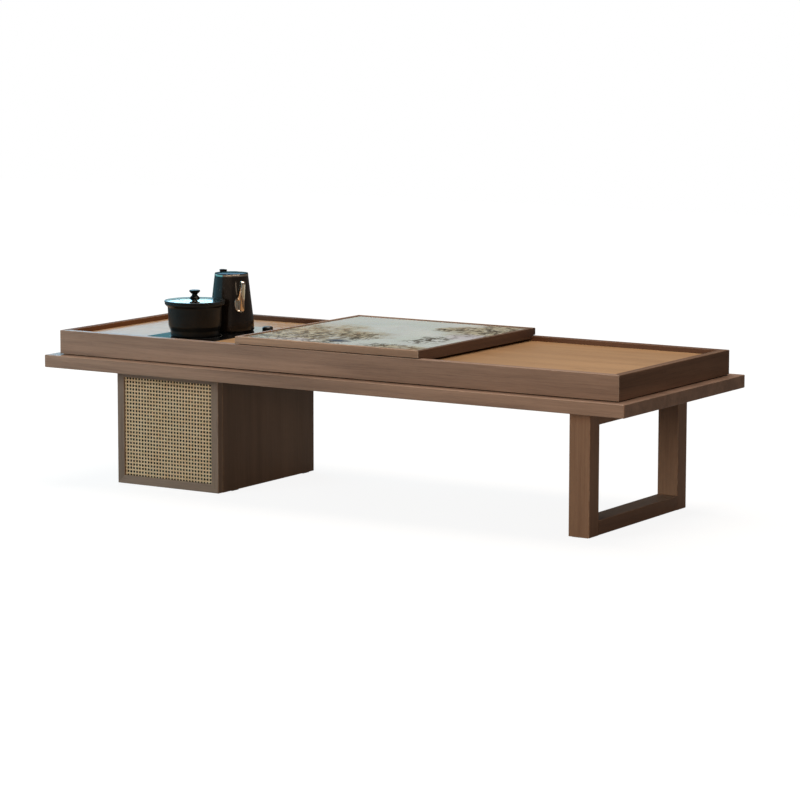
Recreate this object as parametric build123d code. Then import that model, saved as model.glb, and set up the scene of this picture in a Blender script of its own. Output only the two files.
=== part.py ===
"""Gongfu tea table: a long low table on a cane-door cabinet and a loop leg.

The deck board carries a raised tray. A built-in tea stove with a pot and a kettle sits in the
tray's left bay, and a stone-topped panel slides along the tray's front and rear rims.

Millimetres. The origin is on the floor at the table's centre: +X runs along the length towards
the loop leg, +Y towards the back, +Z up.
"""

from build123d import *
import math
import os

# ---------------------------------------------------------------- driving dimensions
# deck board
DECK_LENGTH, DECK_DEPTH, DECK_THICK = 1800, 670, 34
DECK_UNDER = 323
DECK_TOP = DECK_UNDER + DECK_THICK
EASE = 1.2  # bevel of the arrises that a hand touches

# tray on the deck
TRAY_INSET = 31
SHADOW_GAP = 2
RIM_TOP = 424
RIM_THICK = 22
FLOOR_TOP, FLOOR_THICK = 411, 12
GROOVE_DEPTH = 8
BEARER_WIDTH = 30
BEARER_X = (-750, -400, -60, 280, 620)

# built-in tea stove
HOB_X, HOB_Y = -535, -45
HOB_LENGTH, HOB_WIDTH = 360, 220  # along Y, along X
GLASS_THICK, GLASS_PROUD = 4, 2
WELL_MARGIN = 10
GASKET_THICK = 0.8
SHEET = 1.2

# cabinet and its door
CABINET_X = (-730, -390)
CABINET_Y = (-211, 232)
CABINET_BOARD = 18
DOOR_FRONT = -232
DOOR_THICK = 20
DOOR_Z = (2.5, 320.5)
DOOR_MEMBER = 23
PIVOT_X, PIVOT_Y = -722.5, -219
PIVOT_RADIUS = 7
PIN_RADIUS = 2
BOLT_PLAY = 0.05

# cane webbing
CANE_PITCH = 9.93
CANE_PAIR = 4.4
CANE_DIAGONAL = 2.4
CANE_LAYER = 0.45
CANE_HOLE_X, CANE_HOLE_Z = -704.6, 295.3  # centre of the top left hole

# loop leg
LEG_X = (709, 768)
LEG_HALF_DEPTH = 265
POST_DEPTH = 50
LEG_RAIL = 40
PAD_THICK = 2

# sliding panel
PANEL_X = (-284, 287)
PANEL_HALF_DEPTH = 301
PANEL_TOP = 445
PANEL_UNDER = 417
LIP_UNDER = 426
PANEL_BORDER = 10
STONE_THICK, STONE_SUNK = 9, 3
SEAT_WIDTH = 30

# vessels
SLIP = 0.3  # air between pieces that lift or slide apart
POT_X, POT_Y = -543, -124
KETTLE_X, KETTLE_Y = -524, 23
HANDLE_AZIMUTH = -35
POT_HEIGHT = 91.5
KETTLE_HEIGHT = 153
KETTLE_FOOT_RADIUS, KETTLE_NECK_RADIUS = 61.3, 46.8
KETTLE_SHOULDER = 30  # height where the straight cone starts

# worked out from the above
DECK_X = (-DECK_LENGTH / 2, DECK_LENGTH / 2)
DECK_Y = (-DECK_DEPTH / 2, DECK_DEPTH / 2)
TRAY_LENGTH = DECK_LENGTH - 2 * TRAY_INSET
TRAY_DEPTH = DECK_DEPTH - 2 * TRAY_INSET
RIM_UNDER = DECK_TOP + SHADOW_GAP
FLOOR_UNDER = FLOOR_TOP - FLOOR_THICK
GLASS_TOP = FLOOR_TOP + GLASS_PROUD
GLASS_UNDER = GLASS_TOP - GLASS_THICK
VESSEL_Z = GLASS_TOP + SLIP
WELL_X = (HOB_X - HOB_WIDTH / 2 + WELL_MARGIN, HOB_X + HOB_WIDTH / 2 - WELL_MARGIN)
WELL_Y = (HOB_Y - HOB_LENGTH / 2 + WELL_MARGIN, HOB_Y + HOB_LENGTH / 2 - WELL_MARGIN)
DOOR_X = (CABINET_X[0] + 0.5, CABINET_X[1] - 0.5)
DOOR_BACK = DOOR_FRONT + DOOR_THICK


# ---------------------------------------------------------------- shared operations
def board(x, y, z):
    """A board or bar between (low, high) pairs along X, Y and Z."""
    spans = (x, y, z)
    sizes = [high - low for low, high in spans]
    centre = [(high + low) / 2 for low, high in spans]
    return Pos(*centre) * Box(*sizes)


def grown(span, amount):
    """A (low, high) pair moved out by amount at both ends."""
    return (span[0] - amount, span[1] + amount)


def corner_of(face, point):
    """The face's corner that is nearest to a point."""
    return face.vertices().sort_by_distance((*point, 0))[0]


def outline(points, eased=()):
    """A closed outline; eased holds the numbers of the corners that are bevelled."""
    face = make_face(Polyline(*points, close=True))
    for number in eased:
        face = chamfer(corner_of(face, points[number]), EASE)
    return face


def mitred(profile, length, thickness):
    """A rail along X from a (Y, Z) profile, its outer face on Y = 0 and its ends at 45 degrees."""
    bar = extrude(Plane.YZ * profile, length / 2, both=True)
    plan = outline(
        [
            (-length / 2, 0),
            (length / 2, 0),
            (length / 2 - thickness, thickness),
            (thickness - length / 2, thickness),
        ]
    )
    return bar & extrude(plan, DECK_LENGTH / 2, both=True)


def turned(profile, x, y):
    """A (radius, height) profile turned about a vertical axis, standing on the stove glass."""
    return Pos(x, y, VESSEL_Z) * revolve(Plane.XZ * profile, Axis.Z)


def rod(x, y, z, radius):
    """An upright cylinder at (x, y) between the two heights of z."""
    return Pos(x, y, (z[0] + z[1]) / 2) * Cylinder(radius, z[1] - z[0])


def bolt(x, y, seat, radius, length):
    """A hexagon bolt driven upwards: its head hangs below the height of its seat."""
    head_height = 1.3 * radius
    head = Pos(x, y, seat - head_height) * extrude(RegularPolygon(2 * radius, 6), head_height)
    return head + rod(x, y, (seat, seat + length), radius)


def in_all(shapes):
    """One shape that holds several separate solids."""
    return Compound(children=[shape.solid() for shape in shapes])


def save(name, shape):
    """Writes one sub-part."""
    export_step(shape, os.path.join("parts", name + ".step"))


# ---------------------------------------------------------------- deck and tray
LEG_BOLT_X = (LEG_X[0] + LEG_X[1]) / 2
LEG_BOLTS = [(LEG_BOLT_X, y) for y in (-110, 110)]
CABINET_BOLTS = [(-675, -171), (-440, 174)]  # clear of the stove's well
LEG_BOLT_RADIUS, CABINET_BOLT_RADIUS = 4, 3
BOLT_REACH = 22  # how far each bolt goes into the deck


def deck_board():
    """The veneered top board, cut through for the stove and bored from below for the bolts."""
    deck = chamfer(board(DECK_X, DECK_Y, (DECK_UNDER, DECK_TOP)).edges(), EASE)
    deck -= board(WELL_X, WELL_Y, (DECK_UNDER, DECK_TOP))
    for x, y in LEG_BOLTS:
        deck -= rod(x, y, (DECK_UNDER, DECK_UNDER + BOLT_REACH), LEG_BOLT_RADIUS + BOLT_PLAY)
    for x, y in CABINET_BOLTS:
        deck -= rod(x, y, (DECK_UNDER, DECK_UNDER + BOLT_REACH), CABINET_BOLT_RADIUS + BOLT_PLAY)
    return deck


def shadow_gap_battens():
    """The thin recessed frame that lifts the tray rails and leaves a dark line below them."""
    reveal, width = 8, 12
    outer_x, outer_y = TRAY_LENGTH - 2 * reveal, TRAY_DEPTH - 2 * reveal
    ring = Rectangle(outer_x, outer_y) - Rectangle(outer_x - 2 * width, outer_y - 2 * width)
    return Pos(0, 0, DECK_TOP) * extrude(ring, SHADOW_GAP)


def rail_places():
    """Name, length, place and turn of the four tray rails."""
    half_x, half_y = TRAY_LENGTH / 2, TRAY_DEPTH / 2
    return [
        ("front", TRAY_LENGTH, (0, -half_y, 0), 0),
        ("rear", TRAY_LENGTH, (0, half_y, 0), 180),
        ("left", TRAY_DEPTH, (-half_x, 0, 0), -90),
        ("right", TRAY_DEPTH, (half_x, 0, 0), 90),
    ]


def mitre_spline(side_x, side_y):
    """The loose tongue that crosses one mitre of the tray, below the floor's groove."""
    across, thick, height, above_foot = 14, 4, 34, 4
    x = side_x * (TRAY_LENGTH - RIM_THICK) / 2
    y = side_y * (TRAY_DEPTH - RIM_THICK) / 2
    turn = -45 * side_x * side_y
    middle = RIM_UNDER + above_foot + height / 2
    return Pos(x, y, middle) * Rot(0, 0, turn) * Box(across, thick, height)


TRAY_CORNERS = [(side_x, side_y) for side_x in (-1, 1) for side_y in (-1, 1)]


def tray_rail(length, place, turn):
    """One upstand of the tray: grooved inside for the floor, eased on top, mitred at both ends."""
    groove = RIM_THICK - GROOVE_DEPTH
    profile = outline(
        [
            (0, RIM_UNDER),
            (RIM_THICK, RIM_UNDER),
            (RIM_THICK, FLOOR_UNDER),
            (groove, FLOOR_UNDER),
            (groove, FLOOR_TOP),
            (RIM_THICK, FLOOR_TOP),
            (RIM_THICK, RIM_TOP),
            (0, RIM_TOP),
        ],
        (0, 6, 7),
    )
    rail = Pos(*place) * Rot(0, 0, turn) * mitred(profile, length, RIM_THICK)
    for side_x, side_y in TRAY_CORNERS:
        rail -= mitre_spline(side_x, side_y)
    return rail


def tray_floor_board():
    """The tray's floor, tongued into the rails and rebated for the stove's glass."""
    play = 0.5
    reach_x = TRAY_LENGTH / 2 - RIM_THICK + GROOVE_DEPTH - play
    reach_y = TRAY_DEPTH / 2 - RIM_THICK + GROOVE_DEPTH - play
    floor = board((-reach_x, reach_x), (-reach_y, reach_y), (FLOOR_UNDER, FLOOR_TOP))
    floor -= board(WELL_X, WELL_Y, (FLOOR_UNDER, FLOOR_TOP))
    joint, corner = 1, 5
    recess = Rectangle(HOB_WIDTH + 2 * joint, HOB_LENGTH + 2 * joint)
    recess = fillet(recess.vertices(), corner)
    depth = FLOOR_TOP - GLASS_UNDER + GASKET_THICK
    return floor - Pos(HOB_X, HOB_Y, FLOOR_TOP - depth) * extrude(recess, depth)


def tray_bearers():
    """The cross bearers, glued between deck and tray floor."""
    half_width = BEARER_WIDTH / 2
    reach = TRAY_DEPTH / 2 - RIM_THICK
    spans = [(x - half_width, x + half_width) for x in BEARER_X]
    return in_all([board(x, (-reach, reach), (DECK_TOP, FLOOR_UNDER)) for x in spans])


save("deck_board", deck_board())
save("shadow_gap_battens", shadow_gap_battens())
for side, rail_length, rail_place, rail_turn in rail_places():
    save("tray_rail_" + side, tray_rail(rail_length, rail_place, rail_turn))
save("tray_mitre_splines", in_all([mitre_spline(*corner) for corner in TRAY_CORNERS]))
save("tray_floor_board", tray_floor_board())
save("tray_bearers", tray_bearers())


# ---------------------------------------------------------------- built-in tea stove
PLATE_Y = (HOB_Y - 85, HOB_Y + 85)
PLATE_RADIUS, PLATE_THICK, STAND_WIDTH = 62, 12, 24
GLASS_CORNER = 4
STRAP_X, STRAP_Y = (-655, -415), (-100, 90)
STRAP_WIDTH, STRAP_THICK, STRAP_CORNER = 30, 2, 6
GLAND_X, GLAND_Y, GLAND_NECK, GLAND_PLAY = -600, 40, 6, 0.1
GLAND_BORE, GLAND_HEAD, GLAND_CAP, GLAND_NUT = 3.5, 9, 14, 5
BOARD_X, BOARD_Y = (HOB_X - 60, HOB_X + 40), (HOB_Y - 30, HOB_Y + 30)
BOARD_LIFT, BOARD_THICK, BOARD_POST = 8, 1.6, 6
TRANSFORMER_X, RELAY_X = (HOB_X - 50, HOB_X - 14), (HOB_X - 2, HOB_X + 18)
RELAY_LENGTH = 14


def rounded_plate(width, length, radius, low, high):
    """A plate about the stove's centre with rounded upright corners."""
    sheet = Rectangle(width, length)
    sheet = fillet(sheet.vertices(), radius)
    return Pos(HOB_X, HOB_Y, low) * extrude(sheet, high - low)


def hob_glass():
    """The tempered glass plate, its top edge ground to a small bevel."""
    ground = 0.8
    glass = rounded_plate(HOB_WIDTH, HOB_LENGTH, GLASS_CORNER, GLASS_UNDER, GLASS_TOP)
    return chamfer(glass.faces().sort_by(Axis.Z)[-1].edges(), ground)


def hob_gasket():
    """The flat seal between the glass and the floor's rebate."""
    low, high = GLASS_UNDER - GASKET_THICK, GLASS_UNDER
    outer = rounded_plate(HOB_WIDTH, HOB_LENGTH, GLASS_CORNER, low, high)
    return outer - board(WELL_X, WELL_Y, (low, high))


def hob_housing():
    """The pressed steel tub below the glass, with vents and the gland's hole in its bottom."""
    gap, corner = 1, 8
    vents, vent_pitch, vent_width, vent_x = 5, 12, 4, (HOB_X + 25, HOB_X + 65)
    bottom = (DECK_UNDER, DECK_UNDER + SHEET)
    width, length = WELL_X[1] - WELL_X[0] - 2 * gap, WELL_Y[1] - WELL_Y[0] - 2 * gap
    tub = rounded_plate(width, length, corner, DECK_UNDER, GLASS_UNDER)
    tub -= rounded_plate(width - 2 * SHEET, length - 2 * SHEET, corner - SHEET, bottom[1], GLASS_UNDER)
    for row in range(vents):
        vent_y = HOB_Y + (row - (vents - 1) / 2) * vent_pitch
        tub -= board(vent_x, (vent_y - vent_width / 2, vent_y + vent_width / 2), bottom)
    return tub - rod(GLAND_X, GLAND_Y, bottom, GLAND_NECK + GLAND_PLAY)


def hob_heating_plate(y):
    """A round heating plate on a square stand, just below the glass."""
    foot, top = DECK_UNDER + SHEET, GLASS_UNDER - 1
    stand = Pos(HOB_X, y, (foot + top) / 2) * Box(STAND_WIDTH, STAND_WIDTH, top - foot)
    return stand + rod(HOB_X, y, (top - PLATE_THICK, top), PLATE_RADIUS)


def hob_control_board():
    """The power board on four posts, with its transformer and two relays."""
    foot = DECK_UNDER + SHEET
    low = foot + BOARD_LIFT
    high = low + BOARD_THICK
    pieces = [board(BOARD_X, BOARD_Y, (low, high))]
    for x in grown(BOARD_X, -BOARD_POST):
        for y in grown(BOARD_Y, -BOARD_POST):
            pieces.append(Pos(x, y, (foot + low) / 2) * Box(BOARD_POST, BOARD_POST, low - foot))
    pieces.append(board(TRANSFORMER_X, (HOB_Y - 15, HOB_Y + 15), (high, high + 24)))
    for start in RELAY_X:
        pieces.append(board((start, start + RELAY_LENGTH), (HOB_Y - 9, HOB_Y + 9), (high, high + 15)))
    return in_all(pieces)


def hob_cable_gland():
    """The cord's inlet: a nut inside the tub, a neck through it and a cap below."""
    under, inside = DECK_UNDER, DECK_UNDER + SHEET
    profile = outline(
        [
            (GLAND_BORE, under - GLAND_CAP),
            (GLAND_HEAD, under - GLAND_CAP),
            (GLAND_HEAD, under),
            (GLAND_NECK, under),
            (GLAND_NECK, inside),
            (GLAND_HEAD, inside),
            (GLAND_HEAD, inside + GLAND_NUT),
            (GLAND_BORE, inside + GLAND_NUT),
        ]
    )
    return Pos(GLAND_X, GLAND_Y, 0) * revolve(Plane.XZ * profile, Axis.Z)


def hob_fixing_strap(y):
    """A steel strap across the tub's bottom that clamps it to the deck."""
    across = (y - STRAP_WIDTH / 2, y + STRAP_WIDTH / 2)
    strap = board(STRAP_X, across, (DECK_UNDER - STRAP_THICK, DECK_UNDER))
    return chamfer(strap.edges().filter_by(Axis.Z), STRAP_CORNER)


def hob_filler_cap():
    """The low cap over the water filler's outlet, at the glass's back right corner."""
    radius, height, bevel = 15, 9, 3
    profile = outline([(0, 0), (radius, 0), (radius, height - bevel), (radius - bevel, height), (0, height)])
    return Pos(HOB_X + 86, HOB_Y + 135, GLASS_TOP) * revolve(Plane.XZ * profile, Axis.Z)


save("hob_glass", hob_glass())
save("hob_gasket", hob_gasket())
save("hob_housing", hob_housing())
save("hob_heating_plates", in_all([hob_heating_plate(y) for y in PLATE_Y]))
save("hob_control_board", hob_control_board())
save("hob_cable_gland", hob_cable_gland())
save("hob_fixing_straps", in_all([hob_fixing_strap(y) for y in STRAP_Y]))
save("hob_filler_cap", hob_filler_cap())


# ---------------------------------------------------------------- cabinet
INNER_X = grown(CABINET_X, -CABINET_BOARD)
BACK_FRONT = CABINET_Y[1] - CABINET_BOARD
REBATE, DADO = 9, 6
BOTTOM_Z = (10, 10 + CABINET_BOARD)
TOP_RAIL_Z = (DECK_UNDER - CABINET_BOARD, DECK_UNDER)
TOP_RAIL_WIDTH = 80
PIVOT_PLATE, PLATE_TAIL = 2, 40
PIN_LENGTH = 8
NOTCH_X, NOTCH_HEIGHT, NOTCH_CORNER = (HOB_X - 35, HOB_X + 35), 30, 6
CATCH_X, CATCH_Z = -420, (140, 180)
CATCH_DEPTH, CATCH_CORNER = 14, 3
STRIKE_THICK = 0.6
CABINET_PAD, CABINET_PAD_Y = (14, 30), (-150, 195)


def pivot_plate_tail(low):
    """The flat pivot plate: round at the pin, straight where it is let in behind it."""
    tab = Circle(PIVOT_RADIUS)
    tail = Pos(0, PLATE_TAIL / 2) * Rectangle(2 * PIVOT_RADIUS, PLATE_TAIL)
    return Pos(PIVOT_X, PIVOT_Y, low) * extrude(tab + tail, PIVOT_PLATE)


def cabinet_side(outer, inward):
    """A side board: dado for the bottom, rebate for the back, upright outer arrises eased."""
    inner = outer + inward * CABINET_BOARD
    side = board(sorted((outer, inner)), CABINET_Y, (PAD_THICK, DECK_UNDER))
    side -= board(sorted((inner - inward * DADO, inner)), (CABINET_Y[0], BACK_FRONT), BOTTOM_Z)
    rebate_x = sorted((inner - inward * REBATE, inner))
    side -= board(rebate_x, (BACK_FRONT, CABINET_Y[1]), (PAD_THICK, DECK_UNDER))
    uprights = side.edges().filter_by(Axis.Z)
    return chamfer(uprights.filter_by_position(Axis.X, outer - 0.1, outer + 0.1), EASE)


def cabinet_back():
    """The back board with a notch at its foot for the stove's cord."""
    back = board(grown(INNER_X, REBATE), (BACK_FRONT, CABINET_Y[1]), (PAD_THICK, DECK_UNDER))
    notch = board(NOTCH_X, (BACK_FRONT, CABINET_Y[1]), (BOTTOM_Z[1], BOTTOM_Z[1] + NOTCH_HEIGHT))
    return back - chamfer(notch.edges().filter_by(Axis.Y), NOTCH_CORNER)


def cabinet_bottom():
    """The bottom board, held in the sides' dados."""
    return board(grown(INNER_X, DADO), (CABINET_Y[0], BACK_FRONT), BOTTOM_Z)


def cabinet_top_rail(y):
    """A stretcher under the deck, bored for its bolts."""
    rail = board(INNER_X, y, TOP_RAIL_Z)
    for bolt_x, bolt_y in CABINET_BOLTS:
        if y[0] < bolt_y < y[1]:
            rail -= rod(bolt_x, bolt_y, TOP_RAIL_Z, CABINET_BOLT_RADIUS + BOLT_PLAY)
    return rail


def magnetic_catch():
    """The catch's case on the right side board, its face level with the cabinet's front."""
    front = CABINET_Y[0]
    case = board((INNER_X[1] - CATCH_DEPTH, INNER_X[1]), (front, front + CATCH_DEPTH), CATCH_Z)
    return chamfer(case.edges().filter_by(Axis.X), CATCH_CORNER)


def pad(x, y, width, length):
    """A felt pad below a foot."""
    return Pos(x, y, PAD_THICK / 2) * Box(width, length, PAD_THICK)


save("cabinet_side_left", cabinet_side(CABINET_X[0], 1) - pivot_plate_tail(PAD_THICK))
save("cabinet_side_right", cabinet_side(CABINET_X[1], -1))
save("cabinet_back", cabinet_back())
save("cabinet_bottom", cabinet_bottom())
front_rail_y = (CABINET_Y[0], CABINET_Y[0] + TOP_RAIL_WIDTH)
rear_rail_y = (BACK_FRONT - TOP_RAIL_WIDTH, BACK_FRONT)
save("cabinet_top_rails", in_all([cabinet_top_rail(front_rail_y), cabinet_top_rail(rear_rail_y)]))
bolt_length = CABINET_BOARD + BOLT_REACH
cabinet_bolts = [bolt(x, y, TOP_RAIL_Z[0], CABINET_BOLT_RADIUS, bolt_length) for x, y in CABINET_BOLTS]
save("cabinet_fixing_bolts", in_all(cabinet_bolts))
pad_x = grown(CABINET_X, -CABINET_BOARD / 2)
save("cabinet_foot_pads", in_all([pad(x, y, *CABINET_PAD) for x in pad_x for y in CABINET_PAD_Y]))
save("magnetic_catch", magnetic_catch())
top_plate_z = (DECK_UNDER - PIVOT_PLATE, DECK_UNDER)
top_pin = rod(PIVOT_X, PIVOT_Y, (top_plate_z[0] - PIN_LENGTH, top_plate_z[0]), PIN_RADIUS)
top_plate = pivot_plate_tail(top_plate_z[0]) - board(CABINET_X, CABINET_Y, top_plate_z)
save("pivot_plate_top", top_plate + top_pin)
low_plate_top = PAD_THICK + PIVOT_PLATE
low_pin = rod(PIVOT_X, PIVOT_Y, (low_plate_top, low_plate_top + PIN_LENGTH), PIN_RADIUS)
save("pivot_plate_bottom", pivot_plate_tail(PAD_THICK) + low_pin)


# ---------------------------------------------------------------- cane door
LIP_THICK, CANE_REBATE = 5, 7
CANE_FRONT = DOOR_FRONT + LIP_THICK
CANE_BACK = CANE_FRONT + 4 * CANE_LAYER
BEAD = 6
OPENING_X = grown(DOOR_X, -DOOR_MEMBER)
OPENING_Z = grown(DOOR_Z, -DOOR_MEMBER)
REBATE_X = grown(OPENING_X, CANE_REBATE)
REBATE_Z = grown(OPENING_Z, CANE_REBATE)
FIELD_X, FIELD_Z = grown(OPENING_X, 1), grown(OPENING_Z, 1)  # the open part of the webbing
NOTCH_TOP = PAD_THICK + PIVOT_PLATE + 0.4
NOTCH_DEPTH, NOTCH_PLAY = 16, 1.5
BUSH_RADIUS, BUSH_FIT, PRESS_PLAY = 3.5, 0.05, 0.02
BUSH_Z = ((NOTCH_TOP, NOTCH_TOP + PIN_LENGTH), (DOOR_Z[1] - PIN_LENGTH, DOOR_Z[1]))


def door_frame():
    """The four mitred members, each rebated behind for the cane, before the pivots are cut."""
    middle_x = (DOOR_X[0] + DOOR_X[1]) / 2
    middle_z = (DOOR_Z[0] + DOOR_Z[1]) / 2
    profile = outline(
        [
            (0, 0),
            (DOOR_MEMBER, 0),
            (DOOR_MEMBER, LIP_THICK),
            (DOOR_MEMBER - CANE_REBATE, LIP_THICK),
            (DOOR_MEMBER - CANE_REBATE, DOOR_THICK),
            (0, DOOR_THICK),
        ],
        (0, 1),
    )
    width, height = DOOR_X[1] - DOOR_X[0], DOOR_Z[1] - DOOR_Z[0]
    places = [
        ("door_rail_bottom", width, (0, -height / 2), 0),
        ("door_stile_right", height, (width / 2, 0), 90),
        ("door_rail_top", width, (0, height / 2), 180),
        ("door_stile_left", height, (-width / 2, 0), -90),
    ]
    flat = Pos(middle_x, DOOR_FRONT, middle_z) * Rot(90, 0, 0)
    members = {}
    for name, length, place, turn in places:
        member = Pos(*place, 0) * Rot(0, 0, turn) * mitred(profile, length, DOOR_MEMBER)
        members[name] = flat * mirror(member, Plane.XY)
    return members


def pivot_cuts():
    """What the bottom plate and the bushes need out of the door's left corner."""
    notch_x = (DOOR_X[0], PIVOT_X + PIVOT_RADIUS + NOTCH_PLAY)
    notch = board(notch_x, (DOOR_BACK - NOTCH_DEPTH, DOOR_BACK), (DOOR_Z[0], NOTCH_TOP))
    return [notch] + [rod(PIVOT_X, PIVOT_Y, z, BUSH_RADIUS + PRESS_PLAY) for z in BUSH_Z]


def hinge_corner():
    """The door's hinge edge, rounded behind about the pivot so that it clears the cabinet."""
    quarter = Rectangle(PIVOT_RADIUS, PIVOT_RADIUS, align=(Align.MAX, Align.MIN))
    waste = quarter - Circle(PIVOT_RADIUS)
    return Pos(PIVOT_X, PIVOT_Y, DOOR_Z[0]) * extrude(waste, DOOR_Z[1] - DOOR_Z[0])


def gaps_between(span, middle, width):
    """The open (low, high) spans between bands of a width that stand CANE_PITCH apart."""
    first, last = span
    half_gap = (CANE_PITCH - width) / 2
    before = math.ceil((middle - first) / CANE_PITCH)
    after = math.ceil((last - middle) / CANE_PITCH)
    gaps = []
    for k in range(-before, after + 1):
        centre = middle + k * CANE_PITCH
        low, high = max(centre - half_gap, first), min(centre + half_gap, last)
        if high - low > CANE_LAYER:
            gaps.append((low, high))
    return gaps


def plan(x, z):
    """A rectangle in the webbing's plane."""
    return Pos((x[0] + x[1]) / 2, (z[0] + z[1]) / 2) * Rectangle(x[1] - x[0], z[1] - z[0])


def slanted_gaps(turn):
    """The gaps between diagonal strands, which pass midway between the holes' centres."""
    step = CANE_PITCH / math.sqrt(2)
    count = math.ceil((FIELD_X[1] - FIELD_X[0] + FIELD_Z[1] - FIELD_Z[0]) / CANE_PITCH) + 2
    field = plan(FIELD_X, FIELD_Z)
    gaps = []
    for k in range(-count, count + 1):
        strip = Pos(k * step, 0) * Rectangle(step - CANE_DIAGONAL, 2 * DOOR_Z[1])
        gap = (Pos(CANE_HOLE_X, CANE_HOLE_Z) * Rot(0, 0, turn) * strip) & field
        if gap is not None and gap.area > CANE_DIAGONAL**2:
            gaps.append(gap)
    return gaps


def cane_sheet():
    """The webbing: upright pairs, two layers of diagonals and level pairs, woven on one pitch.

    Each layer is one flat solid whose border lies in the frame's rebate. The holes left between
    the four layers are octagons on a square pitch.
    """
    layers = [
        [plan(gap, FIELD_Z) for gap in gaps_between(FIELD_X, CANE_HOLE_X, CANE_PAIR)],
        slanted_gaps(45),
        slanted_gaps(-45),
        [plan(FIELD_X, gap) for gap in gaps_between(FIELD_Z, CANE_HOLE_Z, CANE_PAIR)],
    ]
    sheet = plan(grown(REBATE_X, -0.5), grown(REBATE_Z, -0.5))
    solids = []
    for number, gaps in enumerate(layers):
        y = CANE_FRONT + (number + 1) * CANE_LAYER
        solids.append(Pos(0, y, 0) * Rot(90, 0, 0) * extrude(sheet - gaps, CANE_LAYER))
    return in_all(solids)


def cane_bead():
    """The wooden bead that holds the cane's edge in the rebate."""
    play, y = 0.2, (CANE_BACK, CANE_BACK + BEAD)
    outer = board(grown(REBATE_X, -play), y, grown(REBATE_Z, -play))
    return outer - board(grown(REBATE_X, -BEAD), y, grown(REBATE_Z, -BEAD))


def door_pivot_bush(z):
    """A bush pressed into the door that turns on a pin."""
    return rod(PIVOT_X, PIVOT_Y, z, BUSH_RADIUS) - rod(PIVOT_X, PIVOT_Y, z, PIN_RADIUS + BUSH_FIT)


def catch_strike_plate():
    """The steel plate that meets the catch."""
    strike = board((CATCH_X - 1, CATCH_X + 13), (DOOR_BACK, DOOR_BACK + STRIKE_THICK), grown(CATCH_Z, -2))
    return chamfer(strike.edges().filter_by(Axis.Y), CATCH_CORNER)


frame_members = door_frame()
for name, member in frame_members.items():
    for cut in pivot_cuts():
        member -= cut
    if name != "door_stile_right":
        member -= hinge_corner()
    save(name, member)
save("cane_webbing", cane_sheet())
save("cane_bead", cane_bead())
save("door_pivot_bushes", in_all([door_pivot_bush(z) for z in BUSH_Z]))
save("catch_strike_plate", catch_strike_plate())


# ---------------------------------------------------------------- loop leg
POST_INNER = LEG_HALF_DEPTH - POST_DEPTH
LOW_RAIL_Z = (PAD_THICK, LEG_RAIL)
HIGH_RAIL_Z = (DECK_UNDER - LEG_RAIL, DECK_UNDER)
TENON_REACH, TENON_WIDTH, TENON_HEIGHT = 30, 24, 22
LEG_PAD, LEG_PAD_Y = (45, 36), (-240, 240)


def tenons(z):
    """The two tenons of a rail, which run into mortises in the posts."""
    middle = (z[0] + z[1]) / 2
    both = []
    for side in (-1, 1):
        place = Pos(LEG_BOLT_X, side * (POST_INNER + TENON_REACH / 2), middle)
        both.append(place * Box(TENON_WIDTH, TENON_REACH, TENON_HEIGHT))
    return both


def leg_post(side):
    """An upright post with a mortise for each rail."""
    y = sorted((side * POST_INNER, side * LEG_HALF_DEPTH))
    post = board(LEG_X, y, (PAD_THICK, DECK_UNDER))
    post = chamfer(post.edges().filter_by(Axis.Z), EASE)
    for tenon in tenons(LOW_RAIL_Z) + tenons(HIGH_RAIL_Z):
        post -= tenon
    return post


def leg_rail(z):
    """A rail with a tenon at each end, eased along its length."""
    rail = board(LEG_X, (-POST_INNER, POST_INNER), z)
    rail = chamfer(rail.edges().filter_by(Axis.Y), EASE)
    for tenon in tenons(z):
        rail += tenon
    return rail


save("leg_post_front", leg_post(-1))
save("leg_post_rear", leg_post(1))
save("leg_rail_bottom", leg_rail(LOW_RAIL_Z))
top_rail = leg_rail(HIGH_RAIL_Z)
for x, y in LEG_BOLTS:
    top_rail -= rod(x, y, HIGH_RAIL_Z, LEG_BOLT_RADIUS + BOLT_PLAY)
save("leg_rail_top", top_rail)
leg_bolts = [bolt(x, y, HIGH_RAIL_Z[0], LEG_BOLT_RADIUS, LEG_RAIL + BOLT_REACH) for x, y in LEG_BOLTS]
save("leg_fixing_bolts", in_all(leg_bolts))
save("leg_foot_pads", in_all([pad(LEG_BOLT_X, y, *LEG_PAD) for y in LEG_PAD_Y]))


# ---------------------------------------------------------------- sliding panel
PANEL_LENGTH = PANEL_X[1] - PANEL_X[0]
PANEL_MIDDLE = (PANEL_X[0] + PANEL_X[1]) / 2
PANEL_DEPTH = 2 * PANEL_HALF_DEPTH
STONE_TOP = PANEL_TOP - STONE_SUNK
STONE_UNDER = STONE_TOP - STONE_THICK
MEMBER_WIDTH = PANEL_BORDER + SEAT_WIDTH
BETWEEN_RIMS = TRAY_DEPTH / 2 - RIM_THICK - 1
GLIDE_INSET = (4, 16)


def panel_member(length):
    """A frame member: raised border outside, seat for core and stone inside, mitred ends."""
    profile = outline(
        [
            (0, PANEL_UNDER),
            (MEMBER_WIDTH, PANEL_UNDER),
            (MEMBER_WIDTH, STONE_UNDER),
            (PANEL_BORDER, STONE_UNDER),
            (PANEL_BORDER, PANEL_TOP),
            (0, PANEL_TOP),
        ],
        (0, 5),
    )
    return mitred(profile, length, MEMBER_WIDTH)


def panel_frame(length, place, turn):
    """A member in its place, rebated below where the panel passes over the tray's rims."""
    member = Pos(*place) * Rot(0, 0, turn) * panel_member(length)
    for side in (-1, 1):
        reach = sorted((side * BETWEEN_RIMS, side * PANEL_HALF_DEPTH))
        member -= board(grown(PANEL_X, 1), reach, (PANEL_UNDER, LIP_UNDER))
    return member


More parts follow.
